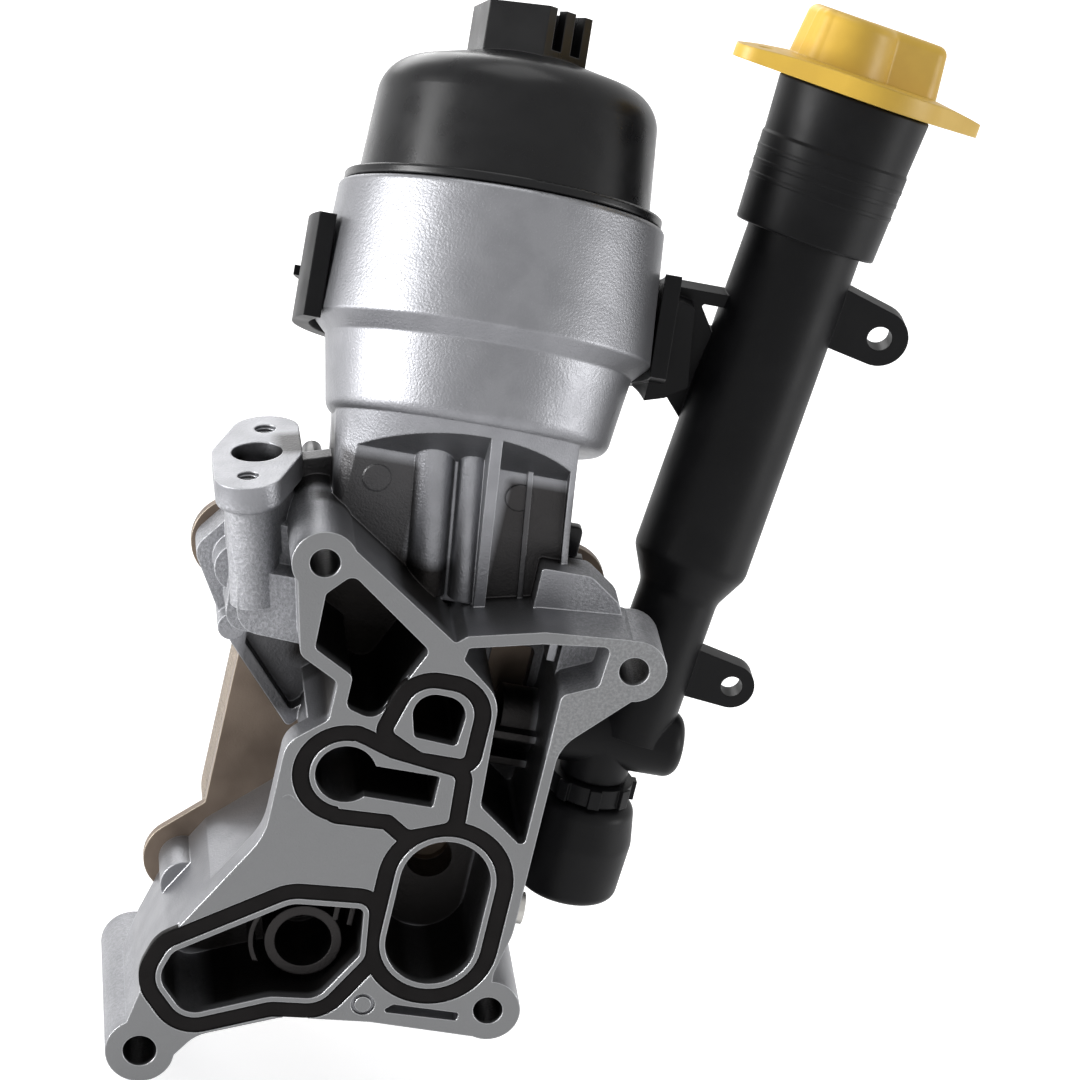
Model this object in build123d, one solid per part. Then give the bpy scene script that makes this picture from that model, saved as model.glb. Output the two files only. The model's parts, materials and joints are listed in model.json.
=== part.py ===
from build123d import *
from math import cos, pi, radians, sin, tan
import os

# Oil filter housing with a plate oil cooler, a screw-on filter cap and an oil filler tube.
# Millimetres. X runs right along the engine face, Y into the housing, Z up.
# The origin is the centre of the dowel hole on the engine face, which is the plane Y = 0.
# The filter stands on its own tilted axis, and so do the filler tube and the turbo port.

# Engine face
DEPTH = 50.0
BACK_WALL = 6.0
SIDE_WALL = 3.1
WEB = 6.0
BOLT_R = 4.5
DOWEL_R = 5.1
BOSS_R = 9.8
DOWEL_BOSS_LENGTH = 71.0
BOLT_LEFT = (22.0, 166.5)
BOLT_RIGHT = (118.5, 149.0)
BOLT_LOW = (100.5, 31.5)
DOWEL = (0.0, 0.0)
BOLT_RIGHT_LENGTH = 24.0
FACE_RIGHT = 102.3
FACE_LOW = 21.5
FACE_WAIST = 22.5

# Ports on the engine face, and the track of their gasket
PORT_RIM = 1.6
TRACK_WIDTH = 5.2
TRACK_DEPTH = 2.6
GASKET_CLEARANCE = 0.15
GASKET_SINK = 0.2
PORT_DEPTH = 38.0
TOP_BAND = 3.8
POCKET_SLOPE = 7.5
POCKET_TOP = 90.0
WAIST_PLATE = 9.0
LARGE_PORT = (78.6, 61.0)
LARGE_PORT_WIDTH = 27.4
LARGE_PORT_HEIGHT = 48.0
KEYHOLE = (42.0, 101.2)
KEYHOLE_R = 9.2
VALVE_BORE = (42.2, 40.5)
VALVE_BORE_R = 8.6
VALVE_RING_WALL = 3.0
VALVE_RING_FRONT = 9.0
VALVE_GUARD_R = 16.5
PASSAGE_R = 7.0

# Oil cooler behind the housing
COOLER_LEFT = 12.0
COOLER_RIGHT = 99.0
COOLER_BOTTOM = 33.0
COOLER_TOP = 150.0
COOLER_CORNER = 18.0
PAD_THICKNESS = 11.0
COOLER_BASE = 3.0
COOLER_LIP = 2.5
COOLER_PLATES = 11
COOLER_PITCH = 3.2
COOLER_LEDGE = 1.4
COOLER_COVER = 2.4
EAR_R = 14.0
EAR_TOP_LEFT = (2.0, 148.0)
EAR_TOP_RIGHT = (101.0, 152.0)
EAR_LOW_LEFT = (6.6, 41.5)
EAR_LOW = (69.0, 25.0)
EAR_TOP_RIGHT_R = 12.8
EAR_LOW_LEFT_R = 12.2
EAR_LOW_R = 10.0
SEAL_WIDTH = 2.6
SEAL_DEPTH = 2.2

# Screws
SCREW_R = 3.0
SCREW_CLEARANCE = 0.3
SCREW_HEAD_FLATS = 10.0
SCREW_HEAD = 5.0
SCREW_WASHER_R = 6.8
SCREW_WASHER = 1.4
SCREW_LENGTH = 16.0
SCREW_BOSS_WALL = 6.0

# Gallery plug in the right side
PLUG_Y = 7.6
PLUG_Z = 63.5
PLUG_R = 3.2
PLUG_LENGTH = 5.5
PLUG_HEAD_R = 4.9
PLUG_HEAD = 2.4

# Filter bowl, on the filter axis
FILTER_X = 61.0
FILTER_Y = 46.0
FILTER_Z = 195.0
FILTER_TILT = 26.3
BOWL_BOTTOM_R = 42.0
BOWL_TOP_R = 46.0
BOWL_FLOOR = 5.0
BOWL_WALL = 4.0
BOWL_BORE_R = BOWL_BOTTOM_R - BOWL_WALL
COLLAR_START = 29.0
COLLAR_END = 69.5
COLLAR_LOW_R = 51.0
COLLAR_TOP_R = 49.0
HEAD_ROOM_R = 10.8
THREAD_BORE_R = 40.5
THREAD_START = 46.0

# Filter cap
CAP_GAP = 0.3
CAP_FLANGE = 3.0
CAP_FLANGE_R = 47.8
CAP_SKIRT_R = 43.8
CAP_SHOULDER_R = 41.6
CAP_WALL = 3.0
CAP_ROOM = 12.0
CAP_DOME = 7.0
CAP_SHOULDER_FILLET = 12.5
CAP_HEX_FLATS = 32.0
CAP_HEX_HEIGHT = 15.5
CAP_HEX_WALL = 3.0
CAP_HEX_TURN = 36.0
CAP_NOTCH = 4.0
CAP_NOTCH_DEPTH = 5.0
RING_SECTION = 2.6

# Filter element and the standpipe inside it
ELEMENT_START = 9.0
ELEMENT_LENGTH = 86.0
ELEMENT_DISC = 3.0
ELEMENT_CLEARANCE = 5.0
ELEMENT_R = BOWL_BORE_R - ELEMENT_CLEARANCE
ELEMENT_INNER_R = 16.5
ELEMENT_GAP = 0.6
CAP_SHOULDER = ELEMENT_START + ELEMENT_LENGTH + CAP_ROOM
CAP_TOP = CAP_SHOULDER + CAP_DOME
HOLDER_R = 14.5
HOLDER_WALL = 2.0
PLEATS = 36
PLEAT_DEPTH = 12.0
CAGE_R = 16.0
CAGE_WALL = 1.4
PIPE_R = 11.5
PIPE_BORE_R = 9.3
PIPE_LENGTH = 54.0
SHELF_BORE_R = 4.0
SHELF_HEIGHT = 34.0
PLUNGER_R = 8.7
PLUNGER_HEAD = 3.0
PLUNGER_STEM_R = 2.5
PLUNGER_STEM = 12.0
SEAT_BORE_R = 6.0
SEAT_HEIGHT = 3.0
SPRING_R = 6.2
SPRING_WIRE_R = 0.6
SPRING_TURNS = 5

# Neck between the engine flange and the bowl, with its two front recesses
NECK_FRONT = 20.0
NECK_BASE = 150.0
NECK_LEFT = 27.6
NECK_RIGHT = 98.8
NECK_LEAN = 8.0
NECK_WALL = 2.0
NECK_RIB_X = 73.0
NECK_RIB = 3.4
NECK_HEIGHT = 120.0
OIL_COLUMN_X = 56.9
OIL_COLUMN_R = 6.2
SMALL_COLUMN_R = 4.6
RECESS_FLOOR = 27.0
CEILING_TILT = 44.0
EJECTOR_R = 4.2
EJECTOR_MARKS = ((35.1, 184.9), (77.8, 186.3))
THIN_RIB_X = 85.5

# Turbo port on the left, its face square to its own tilted axis
PORT_X = 0.3
PORT_Y = 38.0
PORT_Z = 182.0
PORT_LEAN = 13.9
PORT_TURN = 10.4
PORT_BORE_R = 7.6
PORT_R = 13.4
PORT_SCREW_OFFSET = 18.0
PORT_END_R = 10.0
PORT_THREAD_R = 3.2
PORT_FLANGE = 9.0
PORT_BODY = 40.0
PORT_BORE_DEPTH = 24.0
PORT_WALL = 2.8
PORT_COLUMN_R = 7.0
PORT_THREAD_DEPTH = 14.0

# Oil filler tube, on its own leaning axis
TUBE_OUT = 26.7
TUBE_FROM_BACK = 13.6
TUBE_X = FACE_RIGHT + TUBE_OUT
TUBE_Y = DEPTH - TUBE_FROM_BACK
TUBE_Z = 112.0
TUBE_LEAN_RIGHT = 8.5
TUBE_LEAN_BACK = 13.6
TUBE_R = 17.6
TUBE_WALL = 2.2
TUBE_LOW_R = 12.2
TUBE_NECK_START = 47.0
TUBE_NECK_END = 57.0
BAND_END = 204.5
BAND_LENGTH = 45.0
BAND_START = BAND_END - BAND_LENGTH
BAND_LOW_R = 21.6
BAND_TOP_R = 23.6
BAND_RIBS = 3
BAND_RIB_PITCH = 4.2
BAND_RIB = 0.25
FOOT_R = 10.2
FOOT_REACH = 16.5
FOOT_END = TUBE_X + FOOT_REACH
SPIGOT_R = 7.0
SPIGOT_LENGTH = 9.0
SPIGOT_GAP = 0.3
SPIGOT_WALL = 3.0
RING_DEPTH = 1.3
RING_WIDTH = 2.4
RING_START = 3.0
RING_FIT = 0.05
SADDLE_GAP = 0.3
SADDLE_WALL = 5.0
SADDLE_START = 26.0
SADDLE_END = 57.0
SADDLE_REACH = 12.0
EAR_THICKNESS = 7.0
UPPER_EAR_R = 8.8
UPPER_EAR_HOLE_R = 3.8
LOWER_EAR_R = 7.0
LOWER_EAR_HOLE_R = 3.3
UPPER_EAR = (TUBE_X + 51.0, 68.0, 242.0)
UPPER_EAR_ROOT = (TUBE_X + 21.0, 250.0)
LOWER_EAR = (TUBE_X + 28.0, 42.0, 133.0)
LOWER_EAR_ROOT = (TUBE_X + 4.0, 137.0)

# Filler cap
FILLER_RIM = 4.0
FILLER_BRIM = 2.6
FILLER_RIM_R = 28.5
FILLER_LOBE_REACH = 42.5
FILLER_LOBE_R = 8.5
FILLER_GRIP_HEIGHT = 22.5
FILLER_GRIP_LENGTH = 48.0
FILLER_GRIP_WIDTH = 22.0
FILLER_BULGE_R = 16.0
FILLER_BULGE_PLACE = 8.5
FILLER_DIMPLE_R = 3.0
FILLER_PLUG_R = 19.0
FILLER_PLUG = 12.0
FILLER_TURN = 14.0
FILLER_GAP = 0.3
FILLER_PLUG_ROOM = 24.0

# Drain canister under the tube's foot
CANISTER_X = TUBE_X - 7.5
CANISTER_Y = TUBE_Y + 0.6
CANISTER_BOTTOM = 59.0
CANISTER_TOP = 91.0
CANISTER_R = 16.6
CANISTER_BOTTOM_R = 15.4
CANISTER_CORNER = 3.5
CANISTER_NECK_R = 8.5
CLIP_R = 12.6
CLIP_HEIGHT = 6.0


# Frames

FILTER = Plane(
    origin=(FILTER_X, FILTER_Y, FILTER_Z),
    x_dir=(1, 0, 0),
    z_dir=(0, sin(radians(FILTER_TILT)), cos(radians(FILTER_TILT))),
)
PORT = Plane(
    origin=(PORT_X, PORT_Y, PORT_Z),
    x_dir=(cos(radians(PORT_LEAN)), 0, sin(radians(PORT_LEAN))),
    z_dir=(-sin(radians(PORT_LEAN)), 0, cos(radians(PORT_LEAN))),
)
TUBE_AXIS = Vector(tan(radians(TUBE_LEAN_RIGHT)), tan(radians(TUBE_LEAN_BACK)), 1.0).normalized()
TUBE = Plane(
    origin=(TUBE_X, TUBE_Y, TUBE_Z),
    x_dir=Vector(TUBE_AXIS.Z, 0, -TUBE_AXIS.X).normalized(),
    z_dir=TUBE_AXIS,
)


def engine_plane(y):
    """Plane parallel to the engine face at depth y: its own x is X and its own y is Z."""
    return Plane(origin=(0, y, 0), x_dir=(1, 0, 0), z_dir=(0, -1, 0))


def slab(shape, near, far):
    """Extrude a sketch drawn in X and Z from depth near to depth far."""
    return extrude(engine_plane(near) * shape, amount=near - far)


def outline(points, radius):
    """Closed face through the points, with its corners rounded."""
    return make_face(FilletPolyline(*points, radius=radius, close=True).edges())


def turned(points, radius=0.0):
    """Solid of revolution about Z from a closed profile of radius and height."""
    line = FilletPolyline(*points, radius=radius, close=True) if radius else Polyline(*points, close=True)
    return revolve(Plane.XZ * make_face(line.edges()), Axis.Z)


def rod(radius, low, high):
    """Cylinder about Z between two heights."""
    return Pos(0, 0, low) * Cylinder(radius, high - low, align=(Align.CENTER, Align.CENTER, Align.MIN))


def tube(outer, inner, low, high):
    """Ring about Z between two heights."""
    return rod(outer, low, high) - rod(inner, low - 1, high + 1)


def disc(place, radius):
    """Circle at a place on the engine face."""
    return Pos(*place) * Circle(radius)


# Port outlines on the engine face

def large_port():
    """Tall rounded coolant port."""
    return Pos(*LARGE_PORT) * SlotOverall(LARGE_PORT_HEIGHT, LARGE_PORT_WIDTH, rotation=90)


def small_port():
    """Small port, round above and square below."""
    points = [(57.0, 124.5), (59.2, 116.6), (72.2, 115.8), (73.4, 131.0), (58.2, 131.6)]
    return outline(points, [5, 1.5, 1.5, 6.5, 6.5])


def keyhole_port():
    """Round port with a slot running right from it."""
    slot_left, slot_right, slot_low, slot_high = KEYHOLE[0], 69.6, 95.0, 105.4
    slot = outline(
        [(slot_left, slot_low), (slot_right, slot_low), (slot_right, slot_high), (slot_left, slot_high)], 0.8
    )
    return disc(KEYHOLE, KEYHOLE_R) + slot


def keyhole_land():
    """Land round the keyhole port."""
    points = [
        (42.0, 89.8),
        (58.0, 90.6),
        (64.2, 86.6),
        (75.2, 91.0),
        (74.2, 106.0),
        (54.0, 108.6),
        (42.0, 112.4),
    ]
    return disc(KEYHOLE, KEYHOLE_R + PORT_RIM) + outline(points, [0.5, 3, 2, 2, 2, 4, 0.5])


def small_land():
    """Land round the small port, with its pointed left corner."""
    points = [(52.6, 117.2), (62.4, 112.2), (75.3, 112.2), (75.3, 133.2), (56.8, 133.2)]
    return outline(points, [1.5, 3, 1.5, 8, 8])


def valve_port():
    """Long tapering coolant port at the lower left."""
    points = [
        (0.4, 25.0),
        (11.0, 14.0),
        (34.8, 24.7),
        (49.0, 26.4),
        (58.6, 43.0),
        (56.6, 58.6),
        (35.0, 56.6),
        (3.2, 34.4),
    ]
    return outline(points, [7.5, 7, 12, 7, 4, 2, 10, 5])


def grown(face, amount):
    """The face with its edge moved outward."""
    return offset(face, amount=amount)


PORTS = [large_port(), small_port(), keyhole_port(), valve_port()]
LANDS = [grown(large_port(), PORT_RIM), small_land(), keyhole_land(), grown(valve_port(), PORT_RIM)]


def gasket_track(width):
    """Band of the given width round every land, joined where the lands stand side by side."""
    gap = (TRACK_WIDTH - width) / 2
    bands = Sketch() + [grown(land, TRACK_WIDTH - gap) for land in LANDS]
    return bands - [grown(land, gap) if gap else land for land in LANDS]


# Engine face outline

def face_outline():
    """Outline of the engine face without its bolt bosses."""
    left, right, low, dowel = BOLT_LEFT, BOLT_RIGHT, BOLT_LOW, DOWEL
    points = [
        (dowel[0] - BOSS_R + 2.5, dowel[1]),
        (-3.4, 22.0),
        (1.0, 38.5),
        (FACE_WAIST, 77.0),
        (FACE_WAIST, 108.0),
        (33.4, 117.5),
        (33.4, 130.0),
        (20.8, 136.6),
        (left[0] - BOSS_R + 2.6, left[1] - 5.0),
        (left[0] + 4.0, left[1] + BOSS_R - 1.6),
        (64.8, 148.4),
        (68.0, 151.2),
        (90.0, 156.6),
        (right[0] - 2.0, right[1] + BOSS_R),
        (right[0] + BOSS_R - 2.0, right[1] - 3.0),
        (FACE_RIGHT, 121.0),
        (FACE_RIGHT, 58.0),
        (low[0] - 1.0, low[1] + BOSS_R + 3.0),
        (low[0], low[1] - BOSS_R + 0.4),
        (66.0, FACE_LOW),
        (40.0, 18.6),
        (15.5, 8.0),
        (dowel[0] + 5.0, dowel[1] - BOSS_R + 2.0),
    ]
    radii = [3, 12, 10, 22, 9, 3, 3, 4, 3, 3, 1.2, 1.2, 8, 3, 3, 14, 20, 6, 3, 12, 12, 12, 3]
    return outline(points, radii)


def left_window():
    """Triangular opening under the left bolt."""
    points = [
        (24.2, 157.0),
        (30.8, 164.4),
        (58.0, 144.6),
        (47.0, 119.6),
        (37.4, 122.4),
        (37.4, 132.6),
        (24.6, 139.4),
    ]
    return outline(points, [2, 3, 2.5, 5, 3, 2.5, 2])


def right_window():
    """Tall opening between the ports and the right edge, widening to the right bolt."""
    points = [
        (68.4, 143.6),
        (81.4, 133.0),
        (83.4, 98.0),
        (FACE_RIGHT - SIDE_WALL, 86.4),
        (FACE_RIGHT - SIDE_WALL, 137.6),
        (109.4, 142.4),
        (110.2, 155.4),
        (90.0, 156.6 - TOP_BAND),
        (69.0, 151.4 - TOP_BAND),
    ]
    return outline(points, [1.0, 12, 3, 1.5, 3, 2, 2, 6, 1.0])


def window_cuts():
    """Room behind the two openings, clear of the side wall and the upper cooler screw."""
    left = slab(left_window(), -1, DEPTH - BACK_WALL)
    inner = Pos(FACE_RIGHT - SIDE_WALL, 0, 0) * Box(
        200, 200, 400, align=(Align.MAX, Align.CENTER, Align.CENTER)
    )
    right = (slab(right_window(), -1, DEPTH - BACK_WALL) & inner) - top_screw_boss()
    back = slab(Pos(90.0, 123.0) * RectangleRounded(13.0, 19.0, 2.0), DEPTH - BACK_WALL - 1, DEPTH + 1)
    return [left, right, slab(right_window(), -1, BOLT_RIGHT_LENGTH - WEB), back]


# Housing casting

def leaning(plan, low):
    """Prism along the neck's own direction, from a plan given at the height of the neck's base."""
    lean = radians(NECK_LEAN)
    base = Pos((NECK_BASE - low) * tan(lean), 0, low) * plan
    return extrude(base, amount=NECK_HEIGHT, dir=(-sin(lean), 0, cos(lean)))


def below_bowl():
    """Neck that leans from the upper edge of the engine flange into the bowl's floor."""
    width, depth = NECK_RIGHT - NECK_LEFT, DEPTH - NECK_FRONT - 2.0
    middle = (NECK_LEFT + NECK_RIGHT) / 2
    base = Pos(middle, NECK_FRONT + depth / 2 + 1.0, NECK_BASE) * RectangleRounded(width + 3.0, depth, 5.0)
    top = FILTER * Pos(0, 0, 2) * Circle(BOWL_BOTTOM_R - 1.0)
    return loft([base, top]) & leaning(Pos(middle, 0) * Rectangle(width, 4 * DEPTH), NECK_BASE - 5)


def under_ceiling(shape):
    """The part of a shape below the recesses' ceiling, which falls away from the bowl's front edge."""
    edge = (FILTER * Pos(0, -BOWL_BOTTOM_R + 1.0, -1.5)).position
    normal = (0, sin(radians(CEILING_TILT)), cos(radians(CEILING_TILT)))
    ceiling = Plane(origin=edge, x_dir=(1, 0, 0), z_dir=normal)
    return shape & (ceiling * Box(300, 300, 200, align=(Align.CENTER, Align.CENTER, Align.MAX)))


def neck_recesses():
    """Two pockets in the front of the neck, on either side of its rib."""
    left_end, right_end = NECK_LEFT + NECK_WALL, NECK_RIGHT - NECK_WALL
    left = Pos(left_end, RECESS_FLOOR) * Rectangle(
        NECK_RIB_X - NECK_RIB / 2 - left_end, DEPTH, align=(Align.MIN, Align.MAX)
    )
    right = Pos(right_end, RECESS_FLOOR) * Rectangle(
        right_end - NECK_RIB_X - NECK_RIB / 2, DEPTH, align=(Align.MAX, Align.MAX)
    )
    return [under_ceiling(leaning(left, NECK_BASE - 10)), under_ceiling(leaning(right, NECK_BASE - 2))]


def neck_details():
    """Oil column and a smaller one in the left recess, and a thin rib in the right one."""
    large = Pos(OIL_COLUMN_X, RECESS_FLOOR + 1.5) * Circle(OIL_COLUMN_R)
    small = Pos(NECK_RIB_X - SMALL_COLUMN_R, RECESS_FLOOR) * Circle(SMALL_COLUMN_R)
    thin = Pos(THIN_RIB_X, RECESS_FLOOR) * Rectangle(1.6, 3.0)
    return under_ceiling(leaning(large + small + thin, NECK_BASE + 2))


def ejector_marks():
    """Round marks on the floors of the two recesses."""
    marks = Sketch() + [disc(place, EJECTOR_R) for place in EJECTOR_MARKS]
    return slab(marks, RECESS_FLOOR - 0.5, RECESS_FLOOR + 1)


def bowl_outside():
    """Outside of the filter bowl with its thicker collar."""
    points = [
        (0, 0),
        (BOWL_BOTTOM_R, 0),
        (BOWL_TOP_R, COLLAR_START - 5),
        (COLLAR_LOW_R, COLLAR_START),
        (COLLAR_TOP_R, COLLAR_END),
        (0, COLLAR_END),
    ]
    return FILTER * turned(points, [0, 5, 1, 1.2, 1.6, 0])


def bowl_inside():
    """Room for the filter element, with the wider threaded mouth."""
    points = [
        (0, BOWL_FLOOR),
        (BOWL_BORE_R, BOWL_FLOOR),
        (BOWL_BORE_R, THREAD_START - 2),
        (THREAD_BORE_R, THREAD_START),
        (THREAD_BORE_R, COLLAR_END + 1),
        (0, COLLAR_END + 1),
    ]
    return FILTER * turned(points)


def port_outline():
    """Two-bolt flange outline of the turbo port."""
    reach = PORT_SCREW_OFFSET
    middle = Circle(PORT_R)
    ends = [Pos(0, side * reach) * Circle(PORT_END_R) for side in (-1, 1)]
    return Rot(0, 0, -PORT_TURN) * make_hull((middle + ends).edges())


def port_screw_places():
    """Centres of the two threaded holes in the turbo port's own frame."""
    turn = radians(PORT_TURN)
    return [(side * PORT_SCREW_OFFSET * sin(turn), side * PORT_SCREW_OFFSET * cos(turn)) for side in (-1, 1)]


def port_body():
    """Turbo port flange, the wall round its bore and the column under its front screw."""
    front, back = port_screw_places()
    flange = extrude(port_outline(), amount=-PORT_FLANGE)
    flange = fillet(flange.edges().group_by(Axis.Z)[0], 2.0)
    wall = Circle(PORT_BORE_R + PORT_WALL) + Pos(*front) * Circle(PORT_COLUMN_R)
    upper = extrude(make_hull(wall.edges()), amount=-PORT_BORE_DEPTH - PORT_WALL)
    foot = Pos(*front) * Circle(PORT_COLUMN_R) + Pos(2.0, -2.0) * Circle(PORT_COLUMN_R - 1.5)
    column = extrude(make_hull(foot.edges()), amount=-PORT_BODY)
    rear = Pos(*back) * rod(PORT_END_R - 1.2, -PORT_THREAD_DEPTH - 2, -PORT_FLANGE / 2)
    front_of_cooler = slab(Pos(20, 150) * Rectangle(120, 120), -20, DEPTH)
    return (PORT * flange) + (PORT * (upper + column) & front_of_cooler) + (PORT * rear)


def cooler_pad():
    """Upper left part of the casting that the cooler bolts to: a rimmed plate under a square block."""
    x, z = EAR_TOP_LEFT
    points = [(x - EAR_R, z), (x - 4, z + EAR_R), (34, z + EAR_R), (34, 104), (27.5, 95.5), (5.0, 120.0)]
    plate = slab(outline(points, [6, 8, 2, 2, 1.5, 6]), DEPTH - PAD_THICKNESS, DEPTH)
    hollow = outline([(9.5, 120.4), (27.2, 101.0), (34.5, 108.0), (34.5, 132.0), (9.0, 132.0)], 1.5)
    plate -= slab(hollow, 0, DEPTH - PAD_THICKNESS / 2)
    block = slab(outline([(0, 131.0), (24, 130.0), (26, 166), (-2, 166)], [6, 2, 2, 2]), DEPTH - 26, DEPTH)
    step = outline([(3.0, 134.5), (24, 133.5), (24, 154), (-1.0, 154)], [8, 1.5, 3, 3])
    block += slab(step, DEPTH - 35, DEPTH)
    wall = slab(outline([(8, 150), (13, 179), (34, 186), (36, 150)], 2.0), DEPTH - BACK_WALL, DEPTH)
    knob = slab(disc((3.6, 127.5), 4.2), DEPTH - 17, DEPTH)
    boss = slab(disc(EAR_TOP_LEFT, SCREW_WASHER_R + 1), DEPTH - SCREW_LENGTH - 4, DEPTH)
    return plate + block + wall + knob + boss


def right_pad():
    """Web behind the right bolt boss, up to the top right cooler screw."""
    x, z = EAR_TOP_RIGHT
    points = [(88, 146), (BOLT_RIGHT[0] - 1, 152), (x + 12, z + 10), (x + 2, z + 17), (88, z + 17)]
    web = slab(outline(points, [1, 5, 6, 5, 1]), BOLT_RIGHT_LENGTH - WEB, BOLT_RIGHT_LENGTH + WEB)
    return web + top_screw_boss()


def top_screw_boss():
    """Boss of the upper right cooler screw."""
    return slab(disc(EAR_TOP_RIGHT, SCREW_R + SCREW_BOSS_WALL), BOLT_RIGHT_LENGTH, DEPTH)


def engine_flange():
    """Block behind the engine face, cut away behind the right bolt boss."""
    block = slab(face_outline(), 0, DEPTH)
    behind_bolt = Pos(FACE_RIGHT, BOLT_RIGHT_LENGTH, 100) * Box(
        60, DEPTH, 90, align=(Align.MIN, Align.MIN, Align.MIN)
    )
    block -= behind_bolt
    block += slab(disc(BOLT_LEFT, BOSS_R), 0, DEPTH)
    block += slab(disc(BOLT_RIGHT, BOSS_R), 0, BOLT_RIGHT_LENGTH)
    block += slab(disc(BOLT_LOW, BOSS_R), 0, DEPTH)
    block += slab(disc(DOWEL, BOSS_R + 0.6), 0, DOWEL_BOSS_LENGTH)
    return block


def waist_undercut():
    """Room behind the flange's narrow waist, where the cooler shows past its edge."""
    points = [(-20, 46), (4, 49.5), (28, 72.5), (34, 78), (34, 113), (-20, 113)]
    return slab(outline(points, 1.0) - disc(KEYHOLE, KEYHOLE_R + SIDE_WALL), WAIST_PLATE, DEPTH + 1)


def window_ribs():
    """Short ribs that cross the tall window at depth."""
    standing = slab(Pos(96.0, 148.0) * Rectangle(2.4, 12), 14, DEPTH)
    upper = slab(Pos(89.5, 112.0) * Rectangle(22, 2.4), 22, DEPTH)
    lower = slab(Pos(90.5, 101.0) * Rectangle(20, 2.4), 28, DEPTH)
    return standing + upper + lower


def spigot_boss():
    """Round boss on the inside of the right wall for the filler tube's spigot."""
    frame = Plane(origin=(FACE_RIGHT, TUBE_Y, TUBE_Z), z_dir=(1, 0, 0))
    return frame * rod(SPIGOT_R + 3.0, -SPIGOT_LENGTH - 5, -1)


def cooler_room():
    """Space behind the casting's rear face that the cooler and its screws take."""
    return slab(Pos(50.0, 90.25) * Rectangle(150.0, 152.5), DEPTH, DEPTH + 60)


def valve_ring():
    """Round bore standing in the long port, with two short ribs and a curved guard on its left."""
    ring = slab(disc(VALVE_BORE, VALVE_BORE_R + VALVE_RING_WALL), VALVE_RING_FRONT, PORT_DEPTH + 1)
    x, z = VALVE_BORE
    lines = Pos(x + 8, z + 13) * Rectangle(1.6, 9) + Pos(x + 12.6, z + 12) * Rectangle(1.6, 9)
    ribs = slab(lines, VALVE_RING_FRONT, PORT_DEPTH + 1)
    left = Pos(x - VALVE_GUARD_R, z - 1) * Rectangle(VALVE_GUARD_R, VALVE_GUARD_R)
    guard = (disc(VALVE_BORE, VALVE_GUARD_R) - disc(VALVE_BORE, VALVE_GUARD_R - 1.4)) & left
    return ring + ribs + slab(guard, VALVE_RING_FRONT, PORT_DEPTH + 1)


COOLER_PORTS = [(LARGE_PORT[0], LARGE_PORT[1]), (65.0, 124.0), KEYHOLE, VALVE_BORE]
COOLER_SCREWS = [EAR_TOP_LEFT, EAR_TOP_RIGHT, EAR_LOW_LEFT, EAR_LOW]


def sloping_pocket():
    """Pocket beside the gasket whose floor falls from the waist towards the long port."""
    points = [
        (11.8, 50.4),
        (33.0, 65.4),
        (56.2, 67.6),
        (56.0, 83.0),
        (40.0, 83.6),
        (30.0, 89.6),
        (25.0, 94.0),
        (24.9, 77.2),
    ]
    room = slab(outline(points, [1.5, 8, 1.5, 3, 8, 3, 2, 8]), -1, 8)
    tilt = Rot(90 - POCKET_SLOPE, 0, 0) * Box(300, 300, 60, align=(Align.CENTER, Align.CENTER, Align.MIN))
    return room & (Pos(0, 0, POCKET_TOP) * tilt)


def face_details():
    """Shallow cuts in the engine face: the track, the sloping pocket, the stub's ring and the slot."""
    track = slab(gasket_track(TRACK_WIDTH), -1, TRACK_DEPTH)
    slot = outline([(68.4, 25.4), (92.0, 26.4), (92.0, 29.2), (72.0, 28.6)], 0.8)
    stub = disc((62.9, 27.0), 3.6) - disc((62.9, 27.0), 2.5)
    return track + sloping_pocket() + slab(slot, -1, 6.0) + slab(stub, -1, 1.5)


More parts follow.
